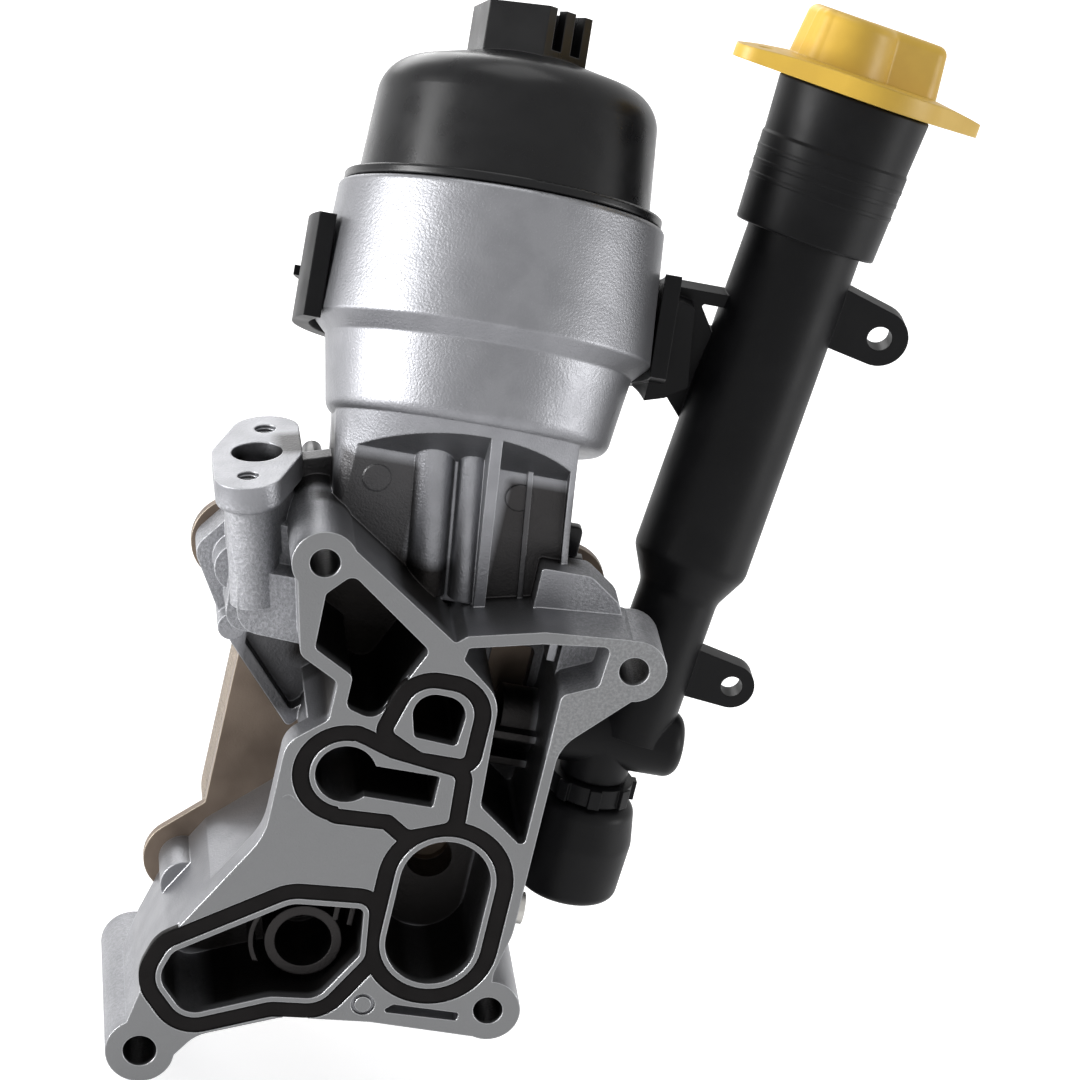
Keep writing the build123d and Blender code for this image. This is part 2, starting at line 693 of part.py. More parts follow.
def filter_housing():
    """The whole aluminium casting."""
    neck = below_bowl()
    for pocket in neck_recesses():
        neck -= pocket
    neck += neck_details() + ejector_marks()
    body = engine_flange() - waist_undercut() + neck + bowl_outside()
    body += port_body() + cooler_pad() + right_pad()
    for place in (EAR_LOW, EAR_LOW_LEFT):
        body += slab(disc(place, SCREW_R + SCREW_BOSS_WALL - 1.5), DEPTH - SCREW_LENGTH - 2, DEPTH)
    body -= cooler_room()
    body -= slab(disc(BOLT_LEFT, HEAD_ROOM_R), DEPTH, 2 * DEPTH)
    body -= bowl_inside()
    for room in window_cuts():
        body -= room
    body += window_ribs() + spigot_boss()
    for port in PORTS:
        body -= slab(port, -1, PORT_DEPTH)
    body += valve_ring() & slab(valve_port(), 0, DEPTH)
    body -= face_details()
    body -= slab(disc(VALVE_BORE, VALVE_BORE_R), 0, PORT_DEPTH)
    for place in COOLER_PORTS:
        groove = disc(place, PASSAGE_R + 1 + SEAL_WIDTH) - disc(place, PASSAGE_R + 1)
        body -= slab(disc(place, PASSAGE_R), PORT_DEPTH - 1, DEPTH + 1)
        body -= slab(groove, DEPTH - SEAL_DEPTH, DEPTH + 1)
    for place in (BOLT_LEFT, BOLT_RIGHT, BOLT_LOW):
        body -= slab(disc(place, BOLT_R), -1, DEPTH + 10)
    body -= slab(disc(DOWEL, DOWEL_R), -1, DOWEL_BOSS_LENGTH + 1)
    for place in COOLER_SCREWS:
        hole_end = DEPTH - SCREW_LENGTH + COOLER_BASE - 1
        body -= slab(disc(place, SCREW_R + SCREW_CLEARANCE), hole_end, DEPTH + 1)
    body -= PORT * rod(PORT_BORE_R, -PORT_BORE_DEPTH, 1)
    for place in port_screw_places():
        body -= PORT * Pos(*place) * rod(PORT_THREAD_R, -PORT_THREAD_DEPTH, 1)
    body -= FILTER * rod(PIPE_BORE_R, -16, BOWL_FLOOR + 1)
    body -= spigot_bore()
    body -= plug_frame() * rod(PLUG_R + SCREW_CLEARANCE, -PLUG_LENGTH - 1, 1)
    return body


def plug_frame():
    """Seat of the gallery plug."""
    return Plane(origin=(FACE_RIGHT, PLUG_Y, PLUG_Z), z_dir=(1, 0, 0))


def spigot_bore():
    """Hole in the right side of the casting for the filler tube's spigot."""
    hole = Plane(origin=(FACE_RIGHT, TUBE_Y, TUBE_Z), z_dir=(1, 0, 0)) * rod(
        SPIGOT_R + SPIGOT_GAP, -SPIGOT_LENGTH - 1, 1
    )
    return hole


# Gasket and cooler

def port_gasket():
    """Moulded rubber gasket that lies in the track round the ports."""
    return slab(gasket_track(TRACK_WIDTH - 2 * GASKET_CLEARANCE), GASKET_SINK, TRACK_DEPTH)


def cooler_seals():
    """Four sealing rings between the casting and the cooler."""
    rings = []
    for place in COOLER_PORTS:
        inner = PASSAGE_R + 1 + GASKET_CLEARANCE
        outer = PASSAGE_R + 1 + SEAL_WIDTH - GASKET_CLEARANCE
        rings.append(slab(disc(place, outer) - disc(place, inner), DEPTH - SEAL_DEPTH, DEPTH))
    return Compound(children=[ring.solid() for ring in rings])


def core_outline(inset=0.0):
    """Rounded rectangle of the cooler's plates."""
    width = COOLER_RIGHT - COOLER_LEFT - 2 * inset
    height = COOLER_TOP - COOLER_BOTTOM - 2 * inset
    middle = ((COOLER_LEFT + COOLER_RIGHT) / 2, (COOLER_BOTTOM + COOLER_TOP) / 2)
    return Pos(*middle) * RectangleRounded(width, height, COOLER_CORNER - inset)


def cooler_base_plate():
    """Thick base plate with its four screw ears."""
    shape = grown(core_outline(), COOLER_LIP)
    corners = [
        (EAR_TOP_LEFT, EAR_R, (30, 130)),
        (EAR_TOP_RIGHT, EAR_TOP_RIGHT_R, (80, 130)),
        (EAR_LOW_LEFT, EAR_LOW_LEFT_R, (28, 62)),
        (EAR_LOW, EAR_LOW_R, (69, 50)),
    ]
    for place, radius, root in corners:
        shape += make_hull((disc(place, radius) + disc(root, radius)).edges())
    plate = slab(shape, DEPTH, DEPTH + COOLER_BASE)
    for place in COOLER_PORTS:
        plate -= slab(disc(place, PASSAGE_R), DEPTH - 1, DEPTH + COOLER_BASE + 1)
    for place in COOLER_SCREWS:
        plate -= slab(disc(place, SCREW_R + SCREW_CLEARANCE), DEPTH - 1, DEPTH + COOLER_BASE + 1)
    return plate


def cooler_core():
    """Stack of dished plates: each has a narrow waist and a wider brazed rim."""
    start = DEPTH + COOLER_BASE
    waist = core_outline(COOLER_LEDGE)
    stack = slab(waist, start, start + COOLER_PLATES * COOLER_PITCH)
    for index in range(COOLER_PLATES):
        near = start + index * COOLER_PITCH
        stack += slab(core_outline(), near, near + COOLER_PITCH / 2)
    return stack


def cooler_cover_plate():
    """Rear cover of the cooler with the closed cups of its four channels."""
    start = DEPTH + COOLER_BASE + COOLER_PLATES * COOLER_PITCH
    plate = slab(core_outline(), start, start + COOLER_COVER)
    for place in COOLER_PORTS:
        plate += slab(disc(place, PASSAGE_R + 1.5), start, start + COOLER_COVER + 1.6)
    return plate


def screw(length):
    """Flanged hex screw along Z, its head's seat at zero and its shank below."""
    hexagonal = RegularPolygon(SCREW_HEAD_FLATS / 2, 6, major_radius=False)
    head = extrude(hexagonal, amount=SCREW_HEAD + SCREW_WASHER)
    return head + rod(SCREW_WASHER_R, 0, SCREW_WASHER) + rod(SCREW_R, -length, 0.5)


def cooler_screws():
    """Four screws that hold the cooler to the casting from behind."""
    seats = [
        Plane(origin=(place[0], DEPTH + COOLER_BASE, place[1]), x_dir=(1, 0, 0), z_dir=(0, 1, 0))
        for place in COOLER_SCREWS
    ]
    return Compound(children=[(seat * screw(SCREW_LENGTH)).solid() for seat in seats])


# Filter cap

def hexagon(flats):
    """Hexagon turned as the cap's head stands."""
    return RegularPolygon(flats / 2, 6, major_radius=False, rotation=CAP_HEX_TURN)


def hex_head():
    """Cored hexagon that a socket turns the cap by."""
    body = extrude(hexagon(CAP_HEX_FLATS), amount=CAP_HEX_HEIGHT)
    core = Pos(0, 0, 2) * extrude(hexagon(CAP_HEX_FLATS - 2 * CAP_HEX_WALL), amount=CAP_HEX_HEIGHT)
    web = Box(CAP_HEX_FLATS, 2.4, CAP_HEX_HEIGHT, align=(Align.CENTER, Align.CENTER, Align.MIN))
    webs = Part() + [Rot(0, 0, CAP_HEX_TURN + 60 * turn) * web for turn in range(3)]
    cored = body - core + (webs & body)
    notch = Box(CAP_NOTCH_DEPTH, CAP_NOTCH, CAP_HEX_HEIGHT, align=(Align.MAX, Align.CENTER, Align.MIN))
    for side in (-1, 1):
        cored -= Rot(0, 0, CAP_HEX_TURN - 90) * Pos(CAP_HEX_FLATS / 2, side * CAP_NOTCH, 3) * notch
    return Pos(0, 0, CAP_TOP - 1) * cored


def filter_cap():
    """Screw-on plastic cap with its dome, thin flange, threaded skirt and element holder."""
    seat = COLLAR_END + CAP_GAP
    skirt_r = THREAD_BORE_R - CAP_GAP
    skirt_end = THREAD_START + 3
    outside = [
        (0, skirt_end),
        (skirt_r, skirt_end),
        (skirt_r, seat),
        (CAP_FLANGE_R, seat),
        (CAP_FLANGE_R, seat + CAP_FLANGE),
        (CAP_SKIRT_R, seat + CAP_FLANGE),
        (CAP_SHOULDER_R, CAP_SHOULDER),
        (CAP_HEX_FLATS / 2, CAP_TOP),
        (0, CAP_TOP),
    ]
    inside = [
        (0, skirt_end - 1),
        (skirt_r - CAP_WALL - 1.6, skirt_end - 1),
        (skirt_r - CAP_WALL - 1.6, seat + CAP_FLANGE),
        (CAP_SHOULDER_R - CAP_WALL - 1.6, CAP_SHOULDER - CAP_WALL),
        (CAP_HEX_FLATS / 2, CAP_TOP - CAP_WALL),
        (0, CAP_TOP - CAP_WALL),
    ]
    shell = turned(outside, [0, 0.5, 0, 0.8, 0.8, 0, CAP_SHOULDER_FILLET, 0, 0])
    shell -= turned(inside, [0, 0, 0, CAP_SHOULDER_FILLET - CAP_WALL, 0, 0])
    groove = seat - 4.5
    shell -= tube(skirt_r + 1, skirt_r - RING_SECTION, groove - RING_SECTION, groove)
    holder = tube(HOLDER_R, HOLDER_R - HOLDER_WALL, ELEMENT_START + ELEMENT_LENGTH, CAP_TOP - 1)
    return FILTER * (shell + holder + hex_head())


def filter_cap_ring():
    """Sealing ring in the groove of the cap's skirt."""
    top = COLLAR_END + CAP_GAP - 4.5
    outer = THREAD_BORE_R - CAP_GAP
    inner, low = outer - RING_SECTION, top - RING_SECTION
    return FILTER * turned([(inner, low), (outer, low), (outer, top), (inner, top)], RING_SECTION / 3)


# Filter element

def filter_paper():
    """Pleated paper between the two end discs."""
    corners = []
    for index in range(2 * PLEATS):
        radius = ELEMENT_R - 1.0 if index % 2 == 0 else ELEMENT_R - PLEAT_DEPTH
        angle = pi * index / PLEATS
        corners.append((radius * cos(angle), radius * sin(angle)))
    star = make_face(Polyline(*corners, close=True).edges()) - Circle(CAGE_R)
    start = ELEMENT_START + ELEMENT_DISC
    return FILTER * Pos(0, 0, start) * extrude(star, amount=ELEMENT_LENGTH - 2 * ELEMENT_DISC)


def element_disc(low, bore):
    """End disc of the element."""
    return FILTER * tube(ELEMENT_R, bore, low, low + ELEMENT_DISC)


def filter_top_disc():
    """Upper end disc, round the cap's holder."""
    return element_disc(ELEMENT_START + ELEMENT_LENGTH - ELEMENT_DISC, HOLDER_R - HOLDER_WALL)


def filter_bottom_disc():
    """Lower end disc, round the standpipe."""
    return element_disc(ELEMENT_START, PIPE_R + ELEMENT_GAP)


def filter_cage():
    """Perforated centre tube that keeps the paper from collapsing."""
    low = ELEMENT_START + ELEMENT_DISC
    high = ELEMENT_START + ELEMENT_LENGTH - ELEMENT_DISC
    cage = tube(CAGE_R, CAGE_R - CAGE_WALL, low, high)
    rows = 6
    for row in range(rows):
        height = low + (row + 0.5) * (high - low) / rows
        for turn in range(4):
            window = Pos(0, 0, height) * Rot(0, 90, 45 * turn) * Box(7, 7, 3 * CAGE_R)
            cage -= window
    return FILTER * cage


# Standpipe and bypass valve

def standpipe():
    """Pipe in the middle of the bowl that holds the bypass valve."""
    top = BOWL_FLOOR + PIPE_LENGTH
    pipe = tube(PIPE_R, PIPE_BORE_R, BOWL_FLOOR, top)
    pipe += tube(PIPE_R, SHELF_BORE_R, SHELF_HEIGHT, SHELF_HEIGHT + 3)
    pipe += tube(PIPE_R + 5, PIPE_BORE_R, BOWL_FLOOR, BOWL_FLOOR + 2)
    for turn in range(4):
        slot = Rot(0, 0, 90 * turn) * Pos(PIPE_R, 0, BOWL_FLOOR + 16) * Box(6, 5, 12)
        pipe -= slot
    return FILTER * pipe


def bypass_seat():
    """Ring that caps the standpipe and stops the plunger."""
    top = BOWL_FLOOR + PIPE_LENGTH
    return FILTER * tube(PIPE_R, SEAT_BORE_R, top, top + SEAT_HEIGHT)


def bypass_plunger():
    """Mushroom plunger under the seat."""
    top = BOWL_FLOOR + PIPE_LENGTH
    head = rod(PLUNGER_R, top - PLUNGER_HEAD, top)
    stem = rod(PLUNGER_STEM_R, top - PLUNGER_HEAD - PLUNGER_STEM, top - PLUNGER_HEAD + 0.5)
    return FILTER * (head + stem)


def bypass_spring():
    """Coil spring between the standpipe's shelf and the plunger."""
    low = SHELF_HEIGHT + 3
    high = BOWL_FLOOR + PIPE_LENGTH - PLUNGER_HEAD
    rise = high - low - 2 * SPRING_WIRE_R
    helix = Helix(rise / SPRING_TURNS, rise, SPRING_R)
    start = Plane(origin=helix @ 0, z_dir=helix % 0)
    coil = sweep(start * RegularPolygon(SPRING_WIRE_R, 6), path=helix, is_frenet=True)
    return FILTER * Pos(0, 0, low + SPRING_WIRE_R) * coil


# Filler tube

def ring_groove(radius):
    """Groove for a sealing ring, on a shank of the given radius about Z."""
    return tube(radius + 1, radius - RING_DEPTH, -RING_START - RING_WIDTH, -RING_START)


def seal_ring(radius, bore_r):
    """Sealing ring that fills its groove and reaches the bore round it."""
    low, high = -RING_START - RING_WIDTH + RING_FIT, -RING_START - RING_FIT
    inner, outer = radius - RING_DEPTH + RING_FIT, bore_r - RING_FIT
    return turned([(inner, low), (outer, low), (outer, high), (inner, high)], 0.4)


def foot_outside():
    """Horizontal foot that carries the tube into the side of the casting."""
    length = FOOT_END - FACE_RIGHT - CAP_GAP
    frame = Plane(origin=(FACE_RIGHT + CAP_GAP, TUBE_Y, TUBE_Z), z_dir=(1, 0, 0))
    barrel = fillet(rod(FOOT_R, 0, length).edges().group_by(Axis.Z)[-1], 4.5)
    spigot = rod(SPIGOT_R, -SPIGOT_LENGTH, 1) - ring_groove(SPIGOT_R)
    return frame * (barrel + spigot)


def foot_inside():
    """Bore of the foot, open through the spigot."""
    length = FOOT_END - FACE_RIGHT
    frame = Plane(origin=(FACE_RIGHT, TUBE_Y, TUBE_Z), z_dir=(1, 0, 0))
    wide = rod(FOOT_R - SPIGOT_WALL, 4, length - 4)
    return frame * (rod(SPIGOT_R - SPIGOT_WALL, -SPIGOT_LENGTH - 1, length / 2) + wide)


def tube_outside():
    """Filler tube with its waist and the thicker band under the cap."""
    points = [
        (0, 0),
        (TUBE_LOW_R, 0),
        (TUBE_LOW_R, TUBE_NECK_START),
        (TUBE_R, TUBE_NECK_END),
        (TUBE_R, BAND_START),
        (BAND_LOW_R, BAND_START),
        (BAND_TOP_R - 0.7, BAND_END - 18),
        (BAND_TOP_R - 1.1, BAND_END - 17),
        (BAND_TOP_R, BAND_END),
        (0, BAND_END),
    ]
    shape = turned(points, [0, 0, 6, 6, 0, 0.8, 0, 0, 0.8, 0])
    for rib in range(BAND_RIBS):
        height = BAND_END - 23.0 - rib * BAND_RIB_PITCH
        share = (height - BAND_START) / (BAND_END - BAND_START)
        shape += rod(BAND_LOW_R + share * (BAND_TOP_R - BAND_LOW_R) + BAND_RIB, height, height + 1.2)
    return TUBE * shape


def tube_inside():
    """Bore of the filler tube, wider in the neck for the cap's plug."""
    plug_room = FILLER_PLUG_R + FILLER_GAP
    room_start = BAND_END - FILLER_PLUG - FILLER_PLUG_ROOM
    points = [
        (0, 0),
        (TUBE_LOW_R - TUBE_WALL - 0.6, 0),
        (TUBE_LOW_R - TUBE_WALL - 0.6, TUBE_NECK_START + 1),
        (TUBE_R - TUBE_WALL, TUBE_NECK_END + 1),
        (TUBE_R - TUBE_WALL, room_start),
        (plug_room, room_start + 6),
        (plug_room, BAND_END + 1),
        (0, BAND_END + 1),
    ]
    return TUBE * turned(points)


def saddle():
    """Band of the tube moulding that reaches round the back of the collar."""
    inner = COLLAR_LOW_R + SADDLE_GAP
    ring = tube(inner + SADDLE_WALL, inner, SADDLE_START, SADDLE_END)
    half = Pos(0, -SADDLE_REACH, 0) * Box(300, 200, 300, align=(Align.CENTER, Align.MIN, Align.CENTER))
    middle = (SADDLE_START + SADDLE_END) / 2
    rib = tube(inner + SADDLE_WALL + 2.0, inner + 1, middle - 1.5, middle + 1.5)
    behind = Pos(0, 12, 0) * Box(300, 200, 300, align=(Align.CENTER, Align.MIN, Align.CENTER))
    return FILTER * ((ring & half) + (rib & behind))


def tube_arm():
    """Web between the saddle and the tube, with its small triangular hole."""
    right = TUBE_X + 17.0
    corners = [(110.0, 247.0), (right, 247.0), (right, 192.0), (128.0, 204.0), (119.0, 214.0), (110.0, 212.0)]
    plate = outline(corners, 1.5)
    hole = outline([(124.0, 243.0), (132.0, 243.0), (130.6, 233.0)], 0.8)
    arm = slab(plate - hole, 64, 71)
    block = outline([(108.0, 246.5), (121.5, 243.5), (125.5, 218.0), (119.0, 213.6), (108.0, 210.0)], 1.0)
    lug = slab(block, 58, 71)
    keep = FILTER * tube(200, COLLAR_LOW_R + SADDLE_GAP + 1, -200, 200)
    return (arm + lug) & keep


def ear(place, radius, root):
    """Flat ear with its round eye, reaching from the tube at root to place."""
    x, y, z = place
    shape = make_hull((disc((x, z), radius) + disc(root, radius + 1.4)).edges())
    return slab(shape, y - EAR_THICKNESS / 2, y + EAR_THICKNESS / 2)


def ear_hole(place, radius):
    """Screw hole of an ear."""
    x, y, z = place
    return slab(disc((x, z), radius), y - EAR_THICKNESS, y + EAR_THICKNESS)


def socket_outside():
    """Socket under the foot for the drain canister's neck."""
    return Pos(CANISTER_X, CANISTER_Y, 0) * rod(CANISTER_NECK_R + 2.0, TUBE_Z - FOOT_R - 3, TUBE_Z)


def filler_tube():
    """The whole black moulding: tube, foot, saddle, arm and ears."""
    body = tube_outside() + foot_outside() + saddle() + tube_arm() + socket_outside()
    body += ear(UPPER_EAR, UPPER_EAR_R, UPPER_EAR_ROOT)
    body += ear(LOWER_EAR, LOWER_EAR_R, LOWER_EAR_ROOT)
    body -= tube_inside()
    body -= foot_inside()
    body -= ear_hole(UPPER_EAR, UPPER_EAR_HOLE_R)
    body -= ear_hole(LOWER_EAR, LOWER_EAR_HOLE_R)
    return body


def filler_tube_ring():
    """Sealing ring on the foot's spigot."""
    frame = Plane(origin=(FACE_RIGHT + CAP_GAP, TUBE_Y, TUBE_Z), z_dir=(1, 0, 0))
    return frame * seal_ring(SPIGOT_R, SPIGOT_R + SPIGOT_GAP)


# Filler cap

def filler_cap():
    """Yellow cap: sloping brim with two dimpled lobes, a grip with two bulges and a plug in the neck."""
    reach = FILLER_LOBE_REACH - FILLER_LOBE_R
    lobes = [Pos(side * reach, 0) * Circle(FILLER_LOBE_R) for side in (-1, 1)]
    edge = make_hull((Circle(FILLER_RIM_R) + lobes).edges())
    standing = (Align.CENTER, Align.CENTER, Align.MIN)
    slope = Cone(FILLER_LOBE_REACH, FILLER_GRIP_LENGTH / 2, FILLER_BRIM, align=standing)
    brim = rod(FILLER_LOBE_REACH, 0, FILLER_RIM) + Pos(0, 0, FILLER_RIM) * slope
    rim = extrude(edge, amount=FILLER_RIM + FILLER_BRIM) & brim
    for side in (-1, 1):
        rim -= Pos(side * reach, 0, FILLER_RIM + FILLER_DIMPLE_R) * Sphere(FILLER_DIMPLE_R)
    half = Rectangle(2 * FILLER_GRIP_LENGTH, FILLER_GRIP_LENGTH, align=(Align.CENTER, Align.MAX))
    bulge = Pos(-FILLER_BULGE_PLACE, 0) * Circle(FILLER_BULGE_R) & half
    bar = RectangleRounded(FILLER_GRIP_LENGTH, FILLER_GRIP_WIDTH, 7.0) + bulge + Rot(0, 0, 180) * bulge
    grip = extrude(bar, amount=FILLER_GRIP_HEIGHT, taper=6)
    grip = fillet(grip.edges().group_by(Axis.Z)[-1], 3.0)
    plug = tube(FILLER_PLUG_R, FILLER_PLUG_R - 3, -FILLER_PLUG, 1) - ring_groove(FILLER_PLUG_R)
    return TUBE * Pos(0, 0, BAND_END + FILLER_GAP) * Rot(0, 0, FILLER_TURN) * (rim + grip + plug)


def filler_cap_ring():
    """Flat sealing ring on the plug."""
    seat = TUBE * Pos(0, 0, BAND_END + FILLER_GAP)
    return seat * seal_ring(FILLER_PLUG_R, FILLER_PLUG_R + FILLER_GAP - RING_FIT)


# Drain canister and small parts

def drain_canister():
    """Round canister with a stepped neck that plugs into the foot."""
    points = [
        (0, CANISTER_BOTTOM),
        (CANISTER_BOTTOM_R, CANISTER_BOTTOM),
        (CANISTER_R, CANISTER_BOTTOM + 19),
        (CANISTER_R - 2, CANISTER_TOP),
        (CANISTER_NECK_R, CANISTER_TOP),
        (CANISTER_NECK_R, TUBE_Z - FOOT_R - 3),
        (0, TUBE_Z - FOOT_R - 3),
    ]
    body = turned(points, [0, CANISTER_CORNER, 10, 4, 0, 0, 0])
    return Pos(CANISTER_X, CANISTER_Y, 0) * body


def drain_clip():
    """Snap collar on the canister's neck."""
    low = CANISTER_TOP + 1
    collar = tube(CLIP_R, CANISTER_NECK_R, low, low + CLIP_HEIGHT)
    for turn in range(8):
        tooth = Box(2.4, 3.6, CLIP_HEIGHT, align=(Align.CENTER, Align.CENTER, Align.MIN))
        collar += Rot(0, 0, 45 * turn) * Pos(CLIP_R, 0, low) * tooth
    return Pos(CANISTER_X, CANISTER_Y, 0) * collar


def gallery_plug():
    """Hex-socket plug in the right side of the casting."""
    socket = Pos(0, 0, -2) * extrude(RegularPolygon(2.0, 6, major_radius=False), amount=PLUG_HEAD + 3)
    return plug_frame() * (rod(PLUG_HEAD_R, 0, PLUG_HEAD) + rod(PLUG_R, -PLUG_LENGTH, 0.5) - socket)


PARTS = {
    "filter_housing": filter_housing,
    "port_gasket": port_gasket,
    "cooler_seals": cooler_seals,
    "cooler_base_plate": cooler_base_plate,
    "cooler_core": cooler_core,
    "cooler_cover_plate": cooler_cover_plate,
    "cooler_screws": cooler_screws,
    "filter_cap": filter_cap,
    "filter_cap_ring": filter_cap_ring,
    "filter_paper": filter_paper,
    "filter_top_disc": filter_top_disc,
    "filter_bottom_disc": filter_bottom_disc,
    "filter_cage": filter_cage,
    "standpipe": standpipe,
    "bypass_seat": bypass_seat,
    "bypass_plunger": bypass_plunger,
    "bypass_spring": bypass_spring,
    "filler_tube": filler_tube,
    "filler_tube_ring": filler_tube_ring,
    "filler_cap": filler_cap,
    "filler_cap_ring": filler_cap_ring,
    "drain_canister": drain_canister,
    "drain_clip": drain_clip,
    "gallery_plug": gallery_plug,
}


def main():
    os.makedirs("parts", exist_ok=True)
    for name, build in PARTS.items():
        export_step(build(), f"parts/{name}.step")


main()
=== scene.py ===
"""Looks of the oil filter housing with its cooler, filter cap and filler tube."""

import json
import logging
from dataclasses import dataclass, field
from enum import Enum
from math import cos, radians, sin
from typing import Union

import bpy
from mathutils import Matrix, Vector

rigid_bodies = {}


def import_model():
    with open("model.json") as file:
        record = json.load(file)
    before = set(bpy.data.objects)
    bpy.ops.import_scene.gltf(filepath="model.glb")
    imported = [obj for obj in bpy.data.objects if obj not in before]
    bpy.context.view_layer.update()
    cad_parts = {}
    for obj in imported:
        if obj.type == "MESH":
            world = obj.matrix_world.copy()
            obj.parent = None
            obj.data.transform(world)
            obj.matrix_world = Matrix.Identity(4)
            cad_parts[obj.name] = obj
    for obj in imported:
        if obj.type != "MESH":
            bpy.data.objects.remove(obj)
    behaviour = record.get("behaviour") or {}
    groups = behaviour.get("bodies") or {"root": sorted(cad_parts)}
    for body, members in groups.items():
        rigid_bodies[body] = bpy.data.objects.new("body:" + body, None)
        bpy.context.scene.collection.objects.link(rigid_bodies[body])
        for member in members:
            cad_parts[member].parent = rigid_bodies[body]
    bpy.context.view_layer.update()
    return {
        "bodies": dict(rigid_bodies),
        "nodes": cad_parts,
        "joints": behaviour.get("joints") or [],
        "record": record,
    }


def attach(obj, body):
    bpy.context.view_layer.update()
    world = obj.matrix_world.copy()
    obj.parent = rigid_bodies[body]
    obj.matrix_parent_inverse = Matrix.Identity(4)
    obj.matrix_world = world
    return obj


Point = tuple[float, float, float]
Colour = tuple[float, float, float]
Area = tuple[Point, Point, float, float]
Source = Union[bpy.types.NodeSocket, float, Colour]

LOG = logging.getLogger("scene")
MM = 0.001
HOUSING = "housing"
QUARTER_TURN = radians(90.0)

# Mottle values between which the colour and the roughness change
COLOUR_MOTTLE = (0.35, 0.65)
GLOSS_MOTTLE = (0.3, 0.7)


class Socket(Enum):
    """Kinds of socket that the shared node groups use."""

    FLOAT = "NodeSocketFloat"
    VECTOR = "NodeSocketVector"


class NodeTree:
    """A node tree with short ways to add nodes and link them."""

    def __init__(self, tree: bpy.types.NodeTree) -> None:
        """Keeps the tree.

        Args:
            tree: The Blender node tree to build in.
        """
        self.tree = tree

    def add(self, kind: str, **values: object) -> bpy.types.Node:
        """Adds a node and sets its properties.

        Args:
            kind: Blender's name of the node's type.
            **values: Properties of the node.

        Returns:
            The new node.
        """
        node = self.tree.nodes.new(kind)
        for name, value in values.items():
            setattr(node, name, value)
        return node

    def feed(self, socket: bpy.types.NodeSocket, source: Source) -> None:
        """Links a source to a socket, or sets it as the socket's own value.

        Args:
            socket: The input to feed.
            source: An output socket, a number or a tuple of numbers.
        """
        if isinstance(source, bpy.types.NodeSocket):
            self.tree.links.new(source, socket)
        else:
            socket.default_value = source

    def place(self) -> bpy.types.NodeSocket:
        """Adds the object coordinates, which are the frame's own."""
        return self.add("ShaderNodeTexCoord").outputs["Object"]

    def math(
        self, operation: str, first: Source, second: Source = 0.0, clamp: bool = False
    ) -> bpy.types.NodeSocket:
        """Adds a math node.

        Args:
            operation: Blender's name of the operation.
            first: First value or socket.
            second: Second value or socket.
            clamp: Whether the result is kept between 0 and 1.

        Returns:
            The node's output.
        """
        node = self.add("ShaderNodeMath", operation=operation, use_clamp=clamp)
        self.feed(node.inputs[0], first)
        self.feed(node.inputs[1], second)
        return node.outputs[0]

    def vector(self, operation: str, first: Source, second: Source = (0.0, 0.0, 0.0)) -> bpy.types.Node:
        """Adds a vector math node.

        Args:
            operation: Blender's name of the operation.
            first: First vector or socket.
            second: Second vector or socket.

        Returns:
            The node.
        """
        node = self.add("ShaderNodeVectorMath", operation=operation)
        self.feed(node.inputs[0], first)
        self.feed(node.inputs[1], second)
        return node

    def mix(self, factor: Source, first: Source, second: Source) -> bpy.types.NodeSocket:
        """Adds a colour mix node.

        Args:
            factor: How much of the second colour shows.
            first: First colour or socket.
            second: Second colour or socket.

        Returns:
            The mixed colour.
        """
        node = self.add("ShaderNodeMix", data_type="RGBA", blend_type="MIX")
        self.feed(node.inputs["Factor"], factor)
        for socket, colour in zip(node.inputs[6:8], (first, second)):
            self.feed(socket, (*colour, 1.0) if isinstance(colour, tuple) else colour)
        return node.outputs[2]

    def ramp(
        self, value: Source, low: float, high: float, out_low: float = 0.0, out_high: float = 1.0
    ) -> bpy.types.NodeSocket:
        """Maps a value from one range to another, with smooth ends.

        Args:
            value: The value to map.
            low: Start of the range it comes from.
            high: End of the range it comes from.
            out_low: Result at low.
            out_high: Result at high.

        Returns:
            The mapped value.
        """
        node = self.add("ShaderNodeMapRange", interpolation_type="SMOOTHSTEP")
        labels = ("Value", "From Min", "From Max", "To Min", "To Max")
        for label, source in zip(labels, (value, low, high, out_low, out_high)):
            self.feed(node.inputs[label], source)
        return node.outputs["Result"]

    def noise(self, scale: Source, detail: float, roughness: float = 0.5) -> bpy.types.NodeSocket:
        """Adds a noise texture on the object coordinates.

        Args:
            scale: Cells to a metre.
            detail: Octaves.
            roughness: Weight of the finer octaves.

        Returns:
            The noise value.
        """
        node = self.add("ShaderNodeTexNoise")
        self.feed(node.inputs["Vector"], self.place())
        self.feed(node.inputs["Scale"], scale)
        node.inputs["Detail"].default_value = detail
        node.inputs["Roughness"].default_value = roughness
        return node.outputs["Fac"]

    def seen(self) -> bpy.types.NodeSocket:
        """Adds the test for rays that show the pale background.

        Returns:
            One for camera, glossy and transmission rays, and zero for the others.
        """
        path = self.add("ShaderNodeLightPath")
        mirrored = self.math("MAXIMUM", path.outputs["Is Glossy Ray"], path.outputs["Is Transmission Ray"])
        return self.math("MAXIMUM", path.outputs["Is Camera Ray"], mirrored)


